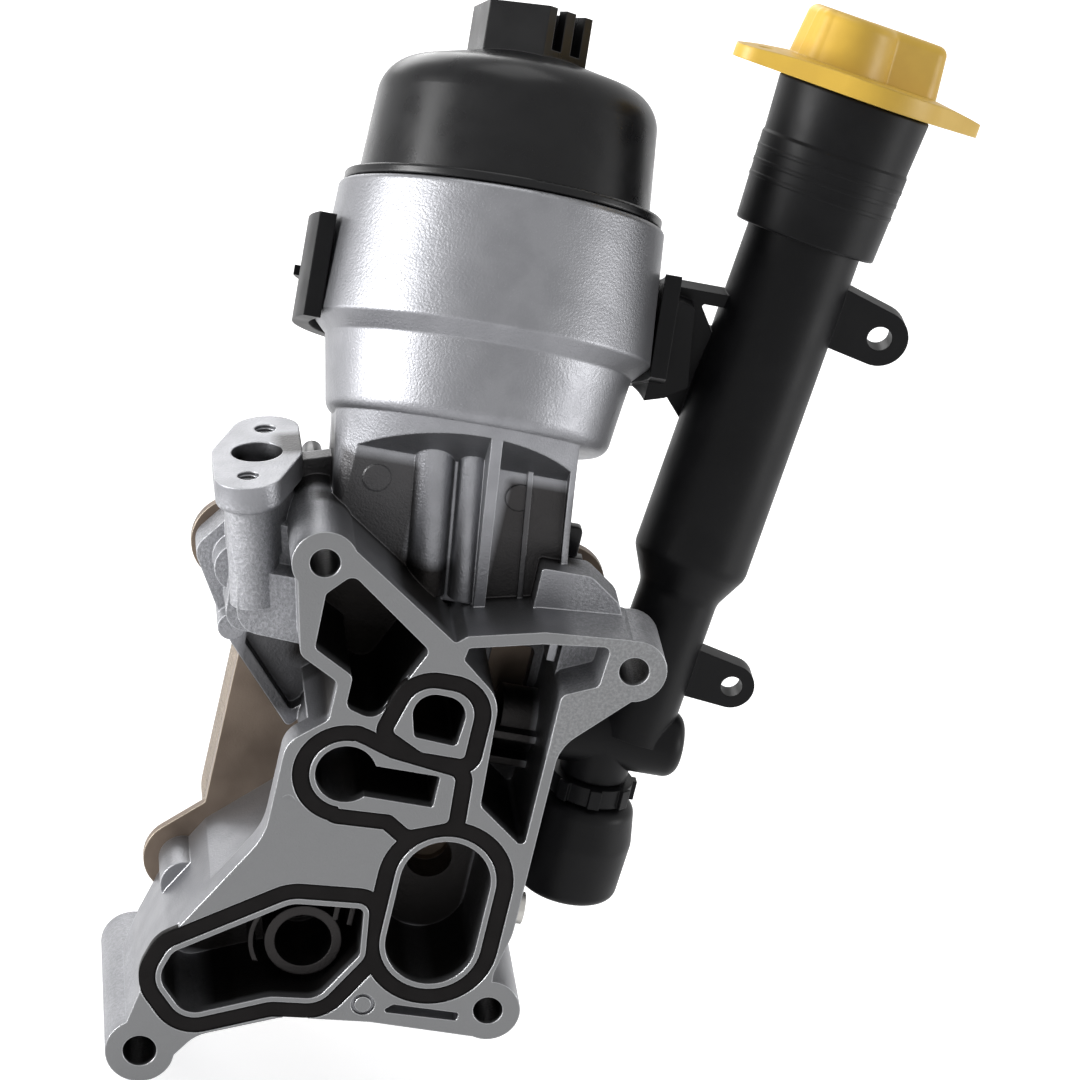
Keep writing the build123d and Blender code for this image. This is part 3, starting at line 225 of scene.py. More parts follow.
class Effects:
    """Node groups that more than one finish uses.

    Attributes:
        FINE_SHARE: Share of the fine grain in the height.
        SLOW_SHARE: Share of the mottling in the height.
        FINE_DETAIL: Octaves of the fine grain.
        SLOW_DETAIL: Octaves of the mottling.
        EDGE_SAMPLES: Samples of the rounded normal.
        EDGE_START: Dot product of the rounded and the plain normal at which an edge starts to show.
        EDGE_FULL: Dot product at which it shows in full.
        grain: Group with the grain and the mottling.
        rounded_edge: Group with the rounded edges.
        room: Group with the mask of a box.
    """

    FINE_SHARE = 0.7
    SLOW_SHARE = 0.3
    FINE_DETAIL = 4.0
    SLOW_DETAIL = 3.0
    EDGE_SAMPLES = 6
    EDGE_START = 0.99
    EDGE_FULL = 0.82

    def __init__(self) -> None:
        """Builds every group once."""
        self.grain = self._grain()
        self.rounded_edge = self._rounded_edge()
        self.room = self._room()

    def _group(
        self, name: str, inputs: dict[str, Socket], outputs: dict[str, Socket]
    ) -> tuple[NodeTree, bpy.types.Node, bpy.types.Node]:
        """Makes an empty group with its sockets.

        Args:
            name: Name of the group.
            inputs: Input names and kinds.
            outputs: Output names and kinds.

        Returns:
            The tree wrapper, the input node and the output node.
        """
        group = bpy.data.node_groups.new(name, "ShaderNodeTree")
        for label, kind in inputs.items():
            group.interface.new_socket(label, in_out="INPUT", socket_type=kind.value)
        for label, kind in outputs.items():
            group.interface.new_socket(label, in_out="OUTPUT", socket_type=kind.value)
        tree = NodeTree(group)
        return tree, tree.add("NodeGroupInput"), tree.add("NodeGroupOutput")

    def _grain(self) -> bpy.types.NodeTree:
        """Fine cast or moulded grain over slow mottling.

        Returns:
            The group, with a mottle value and a height.
        """
        tree, source, out = self._group(
            "surface_grain",
            {"Fine Scale": Socket.FLOAT, "Slow Scale": Socket.FLOAT},
            {"Mottle": Socket.FLOAT, "Height": Socket.FLOAT},
        )
        fine = tree.noise(source.outputs["Fine Scale"], self.FINE_DETAIL)
        slow = tree.noise(source.outputs["Slow Scale"], self.SLOW_DETAIL)
        fine_part = tree.math("MULTIPLY", fine, self.FINE_SHARE)
        slow_part = tree.math("MULTIPLY", slow, self.SLOW_SHARE)
        tree.feed(out.inputs["Mottle"], slow)
        tree.feed(out.inputs["Height"], tree.math("ADD", fine_part, slow_part))
        return tree.tree

    def _rounded_edge(self) -> bpy.types.NodeTree:
        """Rounded normal and a mask of the outer edges.

        Returns:
            The group, with the rounded normal and the mask.
        """
        tree, source, out = self._group(
            "rounded_edge", {"Radius": Socket.FLOAT}, {"Normal": Socket.VECTOR, "Mask": Socket.FLOAT}
        )
        bevel = tree.add("ShaderNodeBevel", samples=self.EDGE_SAMPLES)
        tree.feed(bevel.inputs["Radius"], source.outputs["Radius"])
        plain = tree.add("ShaderNodeNewGeometry").outputs["Normal"]
        same = tree.vector("DOT_PRODUCT", bevel.outputs["Normal"], plain)
        mask = tree.ramp(same.outputs["Value"], self.EDGE_START, self.EDGE_FULL)
        tree.feed(out.inputs["Normal"], bevel.outputs["Normal"])
        tree.feed(out.inputs["Mask"], mask)
        return tree.tree

    def _room(self) -> bpy.types.NodeTree:
        """Mask of a box-shaped room with soft walls.

        Returns:
            The group, with the mask.
        """
        tree, source, out = self._group(
            "room_mask",
            {"Centre": Socket.VECTOR, "Half Size": Socket.VECTOR, "Softness": Socket.FLOAT},
            {"Mask": Socket.FLOAT},
        )
        away = tree.vector("SUBTRACT", tree.place(), source.outputs["Centre"])
        size = tree.vector("ABSOLUTE", away.outputs["Vector"])
        past = tree.vector("SUBTRACT", size.outputs["Vector"], source.outputs["Half Size"])
        outside = tree.vector("MAXIMUM", past.outputs["Vector"])
        length = tree.vector("LENGTH", outside.outputs["Vector"])
        share = tree.math("DIVIDE", length.outputs["Value"], source.outputs["Softness"])
        tree.feed(out.inputs["Mask"], tree.math("SUBTRACT", 1.0, share, clamp=True))
        return tree.tree


@dataclass(frozen=True)
class CoarseSkin:
    """Skin of the areas where the casting is coarser.

    Attributes:
        scale: Cells to a metre.
        detail: Octaves.
        roughness: Weight of the finer octaves.
        height: Its height over that of the fine grain.
        dull: What it adds to the roughness of the surface.
        spot_start: Noise value at which its pale spots start.
        spot_full: Noise value at which they are full.
        pale: How much of the edge's colour the spots take.
    """

    scale: float = 1050.0
    detail: float = 5.0
    roughness: float = 0.7
    height: float = 2.0
    dull: float = 0.14
    spot_start: float = 0.4
    spot_full: float = 0.64
    pale: float = 0.2


@dataclass(frozen=True)
class Finish:
    """One material of the object.

    Attributes:
        name: Name of the material.
        colour: Main colour, linear.
        second: Colour of the mottling.
        roughness: Roughness at the darkest and at the lightest of the mottling.
        metallic: How metallic it is, from 0 to 1.
        specular: Strength of the gloss of what isn't metal.
        grain: Depth of the surface grain in metres.
        grain_strength: Strength of the grain's bumps.
        fine_scale: Cells of the fine grain to a metre.
        slow_scale: Cells of the mottling to a metre.
        edge: Radius of the rounded edge in metres.
        edge_colour: Colour that shows on the edges; where it is lighter it is partly wear and partly a
            painted highlight, and on the gasket its darker colour is a painted shade.
        edge_amount: How much of it shows.
        painted_shade_rooms: Recesses that take a painted shade, each a centre, a half size, a softness and
            a strength.
        painted_shade_colour: Colour of the painted shade in those recesses.
        faced_and_shaded: Areas that a cutter has faced, darker partly in their own tone and partly as a
            painted shade of the front, given as the recesses are.
        faced_and_shaded_colour: Colour of the faced areas, partly their own tone and partly painted shade.
        rough: Areas with a coarser skin, given as the recesses are.
        skin: That coarser skin.
    """

    name: str
    colour: Colour
    second: Colour
    roughness: tuple[float, float]
    metallic: float = 0.0
    specular: float = 0.5
    grain: float = 0.0001
    grain_strength: float = 0.6
    fine_scale: float = 1400.0
    slow_scale: float = 90.0
    edge: float = 0.0005
    edge_colour: Colour = (0.5, 0.5, 0.5)
    edge_amount: float = 0.0
    painted_shade_rooms: tuple[Area, ...] = ()
    painted_shade_colour: Colour = (0.02, 0.018, 0.017)
    faced_and_shaded: tuple[Area, ...] = ()
    faced_and_shaded_colour: Colour = (0.165, 0.167, 0.17)
    rough: tuple[Area, ...] = ()
    skin: CoarseSkin = CoarseSkin()

    def build(self, effects: Effects) -> bpy.types.Material:
        """Makes the material.

        Args:
            effects: The shared node groups.

        Returns:
            The material.
        """
        material = bpy.data.materials.new(self.name)
        material.use_nodes = True
        tree = NodeTree(material.node_tree)
        shader = material.node_tree.nodes["Principled BSDF"]
        grain = tree.add("ShaderNodeGroup", node_tree=effects.grain)
        grain.inputs["Fine Scale"].default_value = self.fine_scale
        grain.inputs["Slow Scale"].default_value = self.slow_scale
        edge = tree.add("ShaderNodeGroup", node_tree=effects.rounded_edge)
        edge.inputs["Radius"].default_value = self.edge

        colour = self.surface_colour(tree, effects, grain, edge)
        height = grain.outputs["Height"]
        roughness = tree.ramp(grain.outputs["Mottle"], *GLOSS_MOTTLE, *self.roughness)
        if self.rough:
            colour, height, roughness = self.coarsen(tree, effects, colour, height, roughness)
        # Painted shade darkens the recesses, windows, ports and bores
        for area in self.painted_shade_rooms:
            colour = tree.mix(self.mask(tree, effects, area), colour, self.painted_shade_colour)

        tree.feed(shader.inputs["Base Color"], colour)
        tree.feed(shader.inputs["Roughness"], roughness)
        shader.inputs["Metallic"].default_value = self.metallic
        shader.inputs["Specular IOR Level"].default_value = self.specular
        bump = tree.add("ShaderNodeBump")
        bump.inputs["Distance"].default_value = self.grain
        bump.inputs["Strength"].default_value = self.grain_strength
        tree.feed(bump.inputs["Height"], height)
        tree.feed(bump.inputs["Normal"], edge.outputs["Normal"])
        tree.feed(shader.inputs["Normal"], bump.outputs["Normal"])
        return material

    def surface_colour(
        self, tree: NodeTree, effects: Effects, grain: bpy.types.Node, edge: bpy.types.Node
    ) -> bpy.types.NodeSocket:
        """Adds the mottled colour, the faced areas with their partly painted shade, and the edge colour,
        which is partly wear and partly painted light.

        Args:
            tree: The material's tree.
            effects: The shared node groups.
            grain: The material's grain.
            edge: The material's edges.

        Returns:
            The colour.
        """
        spread = tree.ramp(grain.outputs["Mottle"], *COLOUR_MOTTLE)
        colour = tree.mix(spread, self.colour, self.second)
        # The faced front is darker, partly its own tone and partly a painted shade of the front face
        for area in self.faced_and_shaded:
            colour = tree.mix(self.mask(tree, effects, area), colour, self.faced_and_shaded_colour)
        # Edge colour: partly wear, and partly painted highlight on the lighter edges and painted shade on
        # the gasket's dark edges
        edge_tint = tree.math("MULTIPLY", edge.outputs["Mask"], self.edge_amount)
        return tree.mix(edge_tint, colour, self.edge_colour)

    def coarsen(
        self,
        tree: NodeTree,
        effects: Effects,
        colour: bpy.types.NodeSocket,
        height: bpy.types.NodeSocket,
        roughness: bpy.types.NodeSocket,
    ) -> tuple[bpy.types.NodeSocket, bpy.types.NodeSocket, bpy.types.NodeSocket]:
        """Adds the coarser skin in its areas.

        Args:
            tree: The material's tree.
            effects: The shared node groups.
            colour: The colour so far.
            height: The height so far.
            roughness: The roughness so far.

        Returns:
            The new colour, height and roughness.
        """
        skin = tree.noise(self.skin.scale, self.skin.detail, self.skin.roughness)
        spots = tree.ramp(skin, self.skin.spot_start, self.skin.spot_full, 0.0, self.skin.pale)
        for area in self.rough:
            coarse = self.mask(tree, effects, area)
            rise = tree.math("MULTIPLY", tree.math("MULTIPLY", skin, coarse), self.skin.height)
            height = tree.math("ADD", height, rise)
            roughness = tree.math("ADD", roughness, tree.math("MULTIPLY", coarse, self.skin.dull))
            colour = tree.mix(coarse, colour, tree.mix(spots, colour, self.edge_colour))
        return colour, height, roughness

    def mask(self, tree: NodeTree, effects: Effects, area: Area) -> bpy.types.NodeSocket:
        """Adds the mask of an area.

        Args:
            tree: The material's tree.
            effects: The shared node groups.
            area: Centre, half size, softness and strength.

        Returns:
            The mask, as strong as the area says.
        """
        centre, half, softness, strength = area
        box = tree.add("ShaderNodeGroup", node_tree=effects.room)
        box.inputs["Centre"].default_value = centre
        box.inputs["Half Size"].default_value = half
        box.inputs["Softness"].default_value = softness
        return tree.math("MULTIPLY", box.outputs["Mask"], strength)


def room(low: Point, high: Point, softness: float, strength: float) -> Area:
    """An area from its two corners in millimetres.

    Args:
        low: Lowest corner.
        high: Highest corner.
        softness: Width of the soft wall in millimetres.
        strength: How strongly it shows, from 0 to 1.

    Returns:
        Centre, half size and softness in metres, and the strength.
    """
    centre = tuple((a + b) / 2 * MM for a, b in zip(low, high))
    half = tuple((b - a) / 2 * MM for a, b in zip(low, high))
    return centre, half, softness * MM, strength


# Painted shade in the window on the left and the tall one beside it
WINDOWS = (
    room((26.0, 7.0, 118.0), (60.0, 60.0, 160.0), 4.0, 0.97),
    room((72.0, 7.0, 88.0), (97.0, 43.0, 134.0), 4.0, 0.95),
)
# Painted shade in the large port, the two boxes of the long one, and the keyhole with the small oil port
PORTS = (
    room((66.0, 4.5, 38.0), (91.2, 49.0, 84.0), 2.5, 0.95),
    room((20.0, 4.5, 20.0), (58.0, 49.0, 57.0), 2.0, 0.95),
    room((4.0, 4.5, 18.0), (24.0, 49.0, 36.0), 2.0, 0.95),
    room((34.0, 5.0, 94.0), (70.0, 49.0, 130.0), 2.0, 0.97),
)
# Painted shade on the left and right floors, the thin wall behind the turbo port and the pocket on the
# left
NECK_RECESSES = (
    room((20.0, 26.0, 140.0), (47.0, 30.0, 190.0), 3.0, 0.8),
    room((75.0, 26.0, 152.0), (98.0, 30.0, 190.0), 3.0, 0.9),
    room((8.0, 38.0, 158.0), (26.0, 49.0, 190.0), 4.0, 0.85),
    room((10.0, 36.0, 102.0), (32.0, 47.0, 131.0), 3.0, 0.6),
)
# Painted shade in the bolt bores on the left, on the right and below, and in the dowel bore
FACE_HOLES = (
    room((18.0, 2.0, 162.5), (26.0, 48.0, 170.5), 1.6, 0.97),
    room((114.5, 2.0, 145.0), (122.5, 22.0, 153.0), 1.6, 0.97),
    room((96.5, 2.0, 27.5), (104.5, 48.0, 35.5), 1.6, 0.97),
    room((-4.6, 2.0, -4.6), (4.6, 69.0, 4.6), 1.6, 0.97),
)
# Painted shade in the upper and lower part of the port's bore, and in its front and back screw holes
TURBO_PORT_HOLES = (
    room((-3.6, 32.2, 171.5), (7.4, 43.8, 177.0), 3.0, 0.97),
    room((-1.0, 32.2, 160.0), (9.5, 43.8, 171.5), 2.4, 0.97),
    room((-3.0, 18.6, 169.0), (0.6, 22.0, 177.5), 2.0, 0.97),
    room((3.4, 54.0, 171.0), (7.0, 57.4, 179.5), 2.0, 0.97),
)
ROUGH_AREAS = (
    room((-14.0, 5.0, 128.0), (20.0, 60.0, 172.0), 5.0, 1.0),
    room((100.0, 2.0, 120.0), (124.0, 60.0, 170.0), 5.0, 1.0),
    room((-16.0, 5.0, -12.0), (16.0, 80.0, 14.0), 4.0, 0.7),
)
# The faced front, whose darker colour is partly painted shade
ENGINE_FACE = room((-40.0, -1.0, -30.0), (140.0, 0.2, 200.0), 0.25, 1.0)

# The casting's recesses take painted shade, its faced front is darker partly as painted shade, and its
# lighter edges are partly painted highlight
CAST = Finish(
    "cast_aluminium", (0.235, 0.237, 0.25), (0.208, 0.21, 0.222), (0.42, 0.45), metallic=1.0,
    grain=0.0003, edge=0.0007, edge_colour=(0.66, 0.67, 0.69), edge_amount=0.45,
    painted_shade_rooms=WINDOWS + PORTS + NECK_RECESSES + FACE_HOLES + TURBO_PORT_HOLES,
    faced_and_shaded=(ENGINE_FACE,), rough=ROUGH_AREAS,
)
BLACK = Finish(
    "black_moulding", (0.0035, 0.0035, 0.004), (0.005, 0.005, 0.0055), (0.26, 0.34), specular=0.24,
    grain=0.00004, edge=0.0006, edge_colour=(0.03, 0.03, 0.03), edge_amount=0.3,
)
TUBE_BLACK = Finish(
    "black_tube", (0.003, 0.003, 0.0035), (0.0045, 0.0045, 0.005), (0.4, 0.48), specular=0.13,
    grain=0.00004, edge=0.0006, edge_colour=(0.02, 0.02, 0.02), edge_amount=0.3,
)
YELLOW = Finish(
    "yellow_moulding", (0.59, 0.375, 0.05), (0.55, 0.345, 0.045), (0.38, 0.46), specular=0.4,
    grain=0.00003, edge=0.0009, edge_colour=(0.72, 0.52, 0.14), edge_amount=0.3,
)
# Its near-black edge colour at full amount is a painted shade of the groove on both sides of the gasket
GASKET = Finish(
    "gasket_rubber", (0.009, 0.008, 0.008), (0.007, 0.0062, 0.0062), (0.42, 0.52), specular=0.07,
    grain=0.00004, edge=0.0015, edge_colour=(0.001, 0.001, 0.001), edge_amount=1.0,
)
RUBBER = Finish(
    "black_rubber", (0.004, 0.004, 0.004), (0.006, 0.006, 0.006), (0.46, 0.56), specular=0.2,
    grain=0.00004, edge=0.0006, edge_colour=(0.02, 0.02, 0.02), edge_amount=0.4,
)
COOLER = Finish(
    "stained_cooler", (0.13, 0.1, 0.078), (0.19, 0.15, 0.118), (0.42, 0.55), metallic=0.85,
    slow_scale=40.0, edge=0.0005, edge_colour=(0.5, 0.44, 0.36), edge_amount=0.8,
)
STEEL = Finish(
    "zinc_steel", (0.5, 0.49, 0.46), (0.42, 0.41, 0.39), (0.3, 0.42), metallic=1.0,
    grain=0.00003, edge=0.0003, edge_colour=(0.7, 0.7, 0.7), edge_amount=0.4,
)
PAPER = Finish("filter_paper", (0.72, 0.5, 0.24), (0.64, 0.43, 0.2), (0.8, 0.9))
PALE = Finish("pale_moulding", (0.6, 0.6, 0.57), (0.55, 0.55, 0.52), (0.45, 0.55), grain=0.00003)

FINISHES = {
    "filter_housing": CAST,
    "port_gasket": GASKET,
    "cooler_seals": RUBBER,
    "cooler_base_plate": COOLER,
    "cooler_core": COOLER,
    "cooler_cover_plate": COOLER,
    "cooler_screws": STEEL,
    "filter_cap": BLACK,
    "filter_cap_ring": RUBBER,
    "filter_paper": PAPER,
    "filter_top_disc": PALE,
    "filter_bottom_disc": PALE,
    "filter_cage": PALE,
    "standpipe": BLACK,
    "bypass_seat": BLACK,
    "bypass_plunger": BLACK,
    "bypass_spring": STEEL,
    "filler_tube": TUBE_BLACK,
    "filler_tube_ring": RUBBER,
    "filler_cap": YELLOW,
    "filler_cap_ring": RUBBER,
    "drain_canister": TUBE_BLACK,
    "drain_clip": TUBE_BLACK,
    "gallery_plug": STEEL,
}


@dataclass
class Dressing:
    """Gives every carried-over node its finish.

    Attributes:
        nodes: The frame's nodes.
        effects: The shared node groups.
        made: Materials made so far, by name.
    """

    nodes: dict[str, bpy.types.Object]
    effects: Effects
    made: dict[str, bpy.types.Material] = field(default_factory=dict)

    def material(self, finish: Finish) -> bpy.types.Material:
        """Builds a finish once.

        Args:
            finish: The finish.

        Returns:
            Its material.
        """
        if finish.name not in self.made:
            self.made[finish.name] = finish.build(self.effects)
        return self.made[finish.name]

    def dress(self) -> None:
        """Assigns the materials."""
        for name, node in self.nodes.items():
            material = self.material(FINISHES[name])
            if not node.material_slots:
                node.data.materials.append(material)
            for slot in node.material_slots:
                slot.material = material
            LOG.info("%s wears %s", name, material.name)


class Bench:
    """Short ways to model a piece with Blender's own tools.

    Attributes:
        FACING: Dot product over which a face counts as looking one way.
        SMOOTH_ANGLE: Angle in radians up to which an edge is shaded smooth.
        ROUND_STEPS: Steps of a rounded edge.
    """

    FACING = 0.95
    SMOOTH_ANGLE = 0.6
    ROUND_STEPS = 3

    @staticmethod
    def clear() -> None:
        """Deselects everything."""
        bpy.ops.object.select_all(action="DESELECT")

    @staticmethod
    def take(piece: bpy.types.Object) -> None:
        """Selects one piece alone.

        Args:
            piece: The piece.
        """
        Bench.clear()
        piece.select_set(True)
        bpy.context.view_layer.objects.active = piece

    @staticmethod
    def settle() -> bpy.types.Object:
        """Puts the place, turn and scale of the piece on the bench into its mesh.

        Returns:
            The piece.
        """
        bpy.ops.object.transform_apply(location=True, rotation=True, scale=True)
        return bpy.context.active_object

    @staticmethod
    def block(centre: Point, size: Point) -> bpy.types.Object:
        """Adds a block.

        Args:
            centre: Its middle in millimetres.
            size: Its three sides in millimetres.

        Returns:
            The block, with its size in its mesh.
        """
        Bench.clear()
        bpy.ops.mesh.primitive_cube_add(size=1.0, location=[MM * value for value in centre])
        bpy.context.active_object.scale = [MM * value for value in size]
        return Bench.settle()

    @staticmethod
    def bevel(piece: bpy.types.Object, width: float) -> None:
        """Rounds the edges of a piece.

        Args:
            piece: The piece.
            width: Width of the round in millimetres.
        """
        tool = piece.modifiers.new("round", "BEVEL")
        tool.width = width * MM
        tool.segments = Bench.ROUND_STEPS
        tool.limit_method = "ANGLE"
        Bench.apply(piece, tool)

    @staticmethod
    def apply(piece: bpy.types.Object, tool: bpy.types.Modifier) -> None:
        """Applies a modifier.

        Args:
            piece: The piece.
            tool: Its modifier.
        """
        Bench.take(piece)
        bpy.ops.object.modifier_apply(modifier=tool.name)

    @staticmethod
    def inset_faces(piece: bpy.types.Object, direction: Point, thickness: float, depth: float) -> None:
        """Insets the faces that look one way and moves them in or out.

        Args:
            piece: The piece.
            direction: The way that the faces look.
            thickness: Width of the frame that is left, in millimetres.
            depth: How far the inner face moves, in millimetres; below zero it sinks.
        """
        Bench.take(piece)
        for polygon in piece.data.polygons:
            polygon.select = polygon.normal.dot(Vector(direction)) > Bench.FACING
        bpy.ops.object.mode_set(mode="EDIT")
        bpy.ops.mesh.select_mode(type="FACE")
        bpy.ops.mesh.inset(thickness=thickness * MM, depth=depth * MM)
        bpy.ops.object.mode_set(mode="OBJECT")

    @staticmethod
    def place(piece: bpy.types.Object, frame: Matrix) -> None:
        """Moves the mesh of a piece, and leaves its object at the origin.

        Args:
            piece: The piece.
            frame: Where it goes.
        """
        Bench.take(piece)
        piece.matrix_world = frame @ piece.matrix_world
        Bench.settle()

    @staticmethod
    def finish(piece: bpy.types.Object, name: str, material: bpy.types.Material, body: str) -> None:
        """Names and paints a piece, and lets it ride on its body.

        Args:
            piece: The piece.
            name: Its name.
            material: Its material.
            body: The body that carries it.
        """
        Bench.take(piece)
        bpy.ops.object.shade_smooth_by_angle(angle=Bench.SMOOTH_ANGLE)
        piece.name = name
        piece.data.materials.clear()
        piece.data.materials.append(material)
        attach(piece, body)
        LOG.info("%s rides on %s", name, body)


@dataclass
class PortThreads:
    """Threads in the two screw holes of the turbo port.

    Attributes:
        origin: Middle of the port's face in millimetres.
        lean: Lean of the port's axis in degrees.
        turn: Turn of the two holes in degrees.
        offset: Distance of the holes from the middle in millimetres.
        radius: Radius of the holes in millimetres.
        pitch: Pitch of the thread in millimetres.
        turns: Turns of the thread.
        runout: Turns between the thread's top and the port's face.
        wire: Radius of the ridge in millimetres.
        wire_sides: Sides of the ridge.
        steps: Steps to a turn.
    """

    origin: Point = (0.3, 38.0, 182.0)
    lean: float = 13.9
    turn: float = 10.4
    offset: float = 18.0
    radius: float = 3.2
    pitch: float = 1.0
    turns: int = 10
    runout: float = 0.6
    wire: float = 0.42
    wire_sides: int = 6
    steps: int = 20

    def ridge(self) -> bpy.types.Object:
        """Models the ridge of one thread round the Z axis, under zero.

        Returns:
            The ridge.
        """
        Bench.clear()
        bpy.ops.mesh.primitive_circle_add(
            vertices=self.wire_sides,
            radius=self.wire * MM,
            fill_type="NOTHING",
            location=(self.radius * MM, 0.0, -(self.turns + self.runout) * self.pitch * MM),
            rotation=(QUARTER_TURN, 0.0, 0.0),
        )
        piece = Bench.settle()
        sweep = piece.modifiers.new("thread", "SCREW")
        sweep.screw_offset = self.pitch * MM
        sweep.iterations = self.turns
        sweep.steps = self.steps
        sweep.render_steps = self.steps
        Bench.apply(piece, sweep)
        bpy.ops.object.mode_set(mode="EDIT")
        bpy.ops.mesh.select_all(action="DESELECT")
        bpy.ops.mesh.select_mode(type="EDGE")
        bpy.ops.mesh.select_non_manifold(extend=False, use_boundary=True)
        bpy.ops.mesh.edge_face_add()
        bpy.ops.mesh.select_all(action="SELECT")
        bpy.ops.mesh.normals_make_consistent(inside=False)
        bpy.ops.object.mode_set(mode="OBJECT")
        return piece

    def build(self, material: bpy.types.Material) -> None:
        """Makes both threads.

        Args:
            material: The casting's material.
        """
        leaning = Matrix.Rotation(-radians(self.lean), 4, "Y")
        port = Matrix.Translation([MM * value for value in self.origin]) @ leaning
        across = sin(radians(self.turn)) * self.offset * MM
        along = cos(radians(self.turn)) * self.offset * MM
        for name, side in (("front", -1), ("back", 1)):
            hole = Matrix.Translation((side * across, side * along, 0.0))
            ridge = self.ridge()
            Bench.place(ridge, port @ hole)
            Bench.finish(ridge, f"port_thread_{name}", material, HOUSING)


@dataclass
class BlackBlock:
    """Black block with a stepped stem on the right side of the neck.

    Attributes:
        foot: Middle of its foot in millimetres.
        foot_size: Sides of the foot in millimetres.
        rim: Width of the rim round the foot's sunk faces in millimetres.
        front_sink: How deep the front face sinks in millimetres.
        side_sink: How deep the right face sinks in millimetres.
        stem: Middle of the stem over it in millimetres.
        stem_size: Sides of the stem in millimetres.
        tip: Width and height of the step on the stem's tip in millimetres.
        round: Round of the stem's edges in millimetres.
    """

    foot: Point = (100.2, 41.0, 162.5)
    foot_size: Point = (8.6, 7.0, 8.6)
    rim: float = 1.3
    front_sink: float = 1.2
    side_sink: float = 1.0
    stem: Point = (97.9, 41.0, 170.2)
    stem_size: Point = (6.4, 5.4, 8.4)
    tip: float = 0.9
    round: float = 0.8

    def build(self, material: bpy.types.Material) -> None:
        """Makes the foot with its sunk faces, and the stem that stands on it.

        Args:
            material: The black plastic.
        """
        foot = Bench.block(self.foot, self.foot_size)
        Bench.inset_faces(foot, (0.0, -1.0, 0.0), self.rim, -self.front_sink)
        Bench.inset_faces(foot, (1.0, 0.0, 0.0), self.rim, -self.side_sink)
        Bench.bevel(foot, self.round / 2)
        Bench.finish(foot, "black_block_foot", material, HOUSING)
        stem = Bench.block(self.stem, self.stem_size)
        Bench.inset_faces(stem, (0.0, 0.0, 1.0), self.tip, self.tip)
        Bench.bevel(stem, self.round)
        Bench.finish(stem, "black_block_stem", material, HOUSING)


@dataclass
class RearPeg:
    """Black peg on the thin wall behind the turbo port.

    Attributes:
        centre: Middle of its foot on the wall in millimetres.
        radius: Radius of the peg in millimetres.
        length: How far it stands out of the wall in millimetres.
        sides: Steps round the peg.
        step: Width of the step round its tip in millimetres.
        rise: Height of the tip over that step in millimetres.
        rim: Width of the rim round the tip's hollow in millimetres.
        sink: Depth of that hollow in millimetres.
        round: Round of its edges in millimetres.
    """

    centre: Point = (19.0, 49.0, 177.0)
    radius: float = 3.0
    length: float = 11.0
    sides: int = 28
    step: float = 0.6
    rise: float = 1.2
    rim: float = 0.8
    sink: float = 0.8
    round: float = 0.5

    def build(self, material: bpy.types.Material) -> None:
        """Makes the peg with its stepped and hollow tip.

        Args:
            material: The black plastic.
        """
        Bench.clear()
        x, y, z = self.centre
        bpy.ops.mesh.primitive_cylinder_add(
            vertices=self.sides,
            radius=self.radius * MM,
            depth=self.length * MM,
            location=(x * MM, (y + self.length / 2) * MM, z * MM),
            rotation=(QUARTER_TURN, 0.0, 0.0),
        )
        peg = Bench.settle()
        Bench.inset_faces(peg, (0.0, 1.0, 0.0), self.step, self.rise)
        Bench.inset_faces(peg, (0.0, 1.0, 0.0), self.rim, -self.sink)
        Bench.bevel(peg, self.round)
        Bench.finish(peg, "rear_peg", material, HOUSING)


@dataclass(frozen=True)
class Lamp:
    """A soft square lamp.

    Attributes:
        name: Name of the lamp.
        place: Where it stands, in metres.
        target: What it points at, in metres.
        size: Side of its face in metres.
        power: Watts.
    """

    name: str
    place: Point
    target: Point
    size: float
    power: float

    def build(self) -> None:
        """Adds the lamp and turns it to its target."""
        data = bpy.data.lights.new(self.name, "AREA")
        data.size = self.size
        data.energy = self.power
        lamp = bpy.data.objects.new(self.name, data)
        bpy.context.scene.collection.objects.link(lamp)
        aim = Vector(self.target) - Vector(self.place)
        turn = aim.to_track_quat("-Z", "Y").to_matrix().to_4x4()
        lamp.matrix_world = Matrix.Translation(self.place) @ turn


LAMPS = (
    Lamp("key", (-1.45, -0.22, 0.32), (0.06, 0.03, 0.16), 0.7, 38.0),
    Lamp("strip", (1.35, -0.3, 0.3), (0.06, 0.03, 0.16), 0.4, 6.0),
    Lamp("top", (-0.1, 0.3, 1.6), (0.06, 0.05, 0.2), 0.9, 6.0),
    Lamp("rim", (-0.35, 1.5, 0.7), (0.06, 0.05, 0.16), 0.9, 9.0),
)


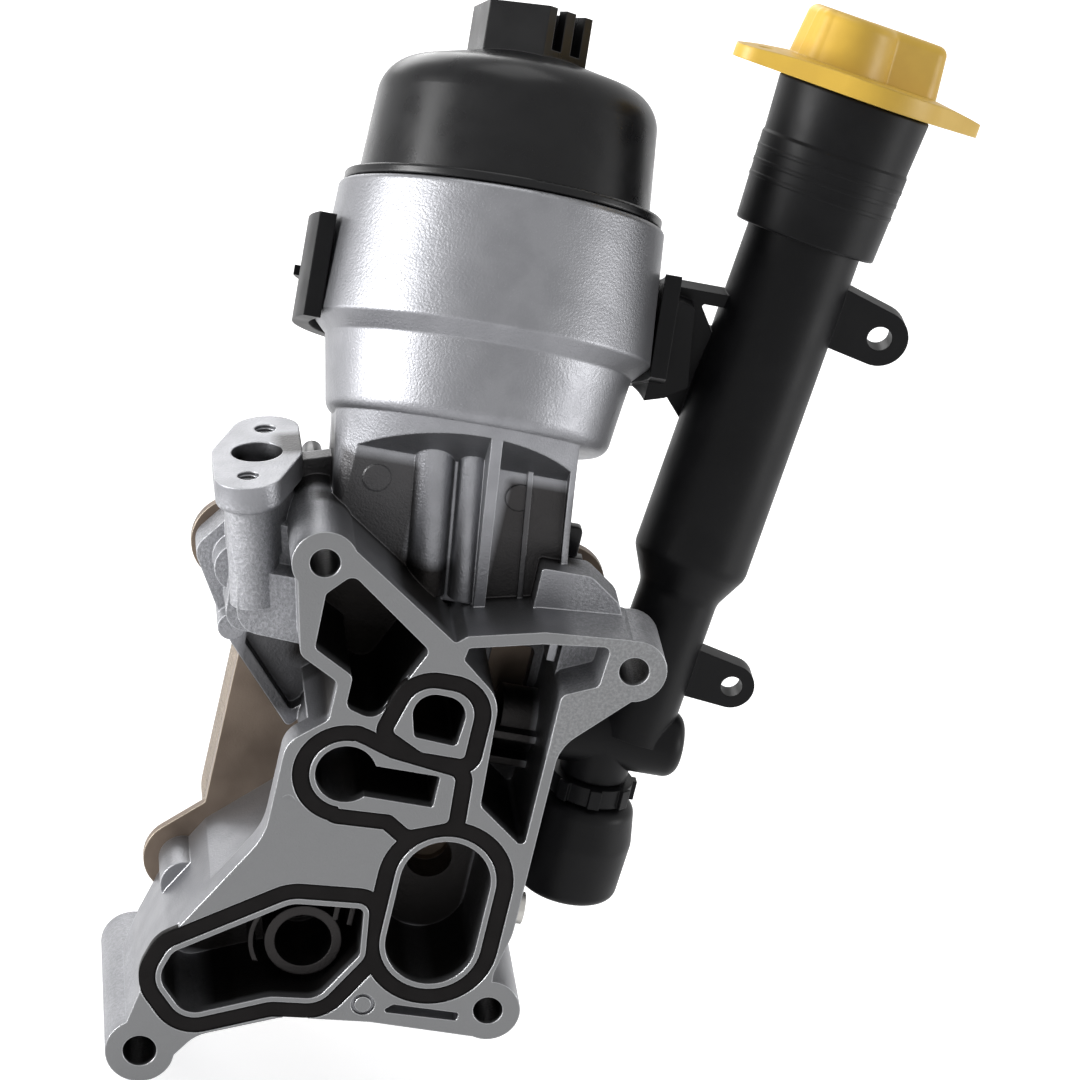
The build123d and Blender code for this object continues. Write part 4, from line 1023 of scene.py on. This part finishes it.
@dataclass
class Studio:
    """Floor, light and camera.

    Attributes:
        eye: Place of the camera in metres.
        right: Direction of the picture's right.
        look: Direction that the camera looks in.
        focal: Focal length over the width of the picture.
        sensor: Width of the picture in the camera in millimetres.
        fill: Colour of the light that the room gives.
        white: Colour of the background.
        floor_height: Height of the floor in metres.
        floor_size: Side of the floor in metres.
        floor_colour: Colour of the floor.
        floor_roughness: Roughness of the floor.
        floor_gloss: Strength of the floor's gloss.
        floor_glow: What the floor adds to the background, where 1 is white.
    """

    eye: Point = (-0.18091, -1.41245, 0.75531)
    right: Point = (0.971, -0.092, 0.221)
    look: Point = (0.170, 0.914, -0.369)
    focal: float = 4.9333
    sensor: float = 36.0
    fill: Colour = (0.45, 0.45, 0.46)
    white: Colour = (1.0, 1.0, 1.0)
    floor_height: float = -0.0125
    floor_size: float = 6.0
    floor_colour: Colour = (0.85, 0.85, 0.85)
    floor_roughness: float = 0.9
    floor_gloss: float = 0.1
    floor_glow: float = 0.6

    def camera(self) -> None:
        """Sets the camera at the photograph's angle."""
        data = bpy.data.cameras.new("camera")
        data.sensor_width = self.sensor
        data.lens = self.focal * self.sensor
        camera = bpy.data.objects.new("camera", data)
        bpy.context.scene.collection.objects.link(camera)
        back = -Vector(self.look).normalized()
        side = Vector(self.right).normalized()
        top = back.cross(side).normalized()
        side = top.cross(back).normalized()
        turn = Matrix((side, top, back)).transposed().to_4x4()
        camera.matrix_world = Matrix.Translation(self.eye) @ turn
        bpy.context.scene.camera = camera

    def world(self) -> None:
        """A white room for the camera and for gloss, and a plain fill light."""
        world = bpy.data.worlds.new("studio")
        bpy.context.scene.world = world
        world.use_nodes = True
        tree = NodeTree(world.node_tree)
        shader = world.node_tree.nodes["Background"]
        tree.feed(shader.inputs["Color"], tree.mix(tree.seen(), self.fill, self.white))

    def floor(self) -> None:
        """A plain pale floor that keeps the object's shadow."""
        Bench.clear()
        bpy.ops.mesh.primitive_plane_add(size=self.floor_size, location=(0.0, 0.0, self.floor_height))
        floor = bpy.context.active_object
        floor.name = "floor"
        material = bpy.data.materials.new("floor")
        material.use_nodes = True
        tree = NodeTree(material.node_tree)
        shader = material.node_tree.nodes["Principled BSDF"]
        shader.inputs["Base Color"].default_value = (*self.floor_colour, 1.0)
        shader.inputs["Roughness"].default_value = self.floor_roughness
        shader.inputs["Specular IOR Level"].default_value = self.floor_gloss
        shader.inputs["Emission Color"].default_value = (*self.white, 1.0)
        glow = tree.math("MULTIPLY", tree.seen(), self.floor_glow)
        tree.feed(shader.inputs["Emission Strength"], glow)
        floor.data.materials.append(material)

    def build(self) -> None:
        """Builds the whole studio."""
        self.camera()
        self.world()
        self.floor()
        for lamp in LAMPS:
            lamp.build()
        bpy.context.scene.view_settings.view_transform = "Standard"


def main() -> None:
    """Builds the scene around the frame."""
    logging.basicConfig(level=logging.INFO, format="%(message)s")
    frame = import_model()
    Studio().build()
    dressing = Dressing(frame["nodes"], Effects())
    dressing.dress()
    PortThreads().build(dressing.material(CAST))
    BlackBlock().build(dressing.material(BLACK))
    RearPeg().build(dressing.material(BLACK))


if __name__ == "__main__":
    main()
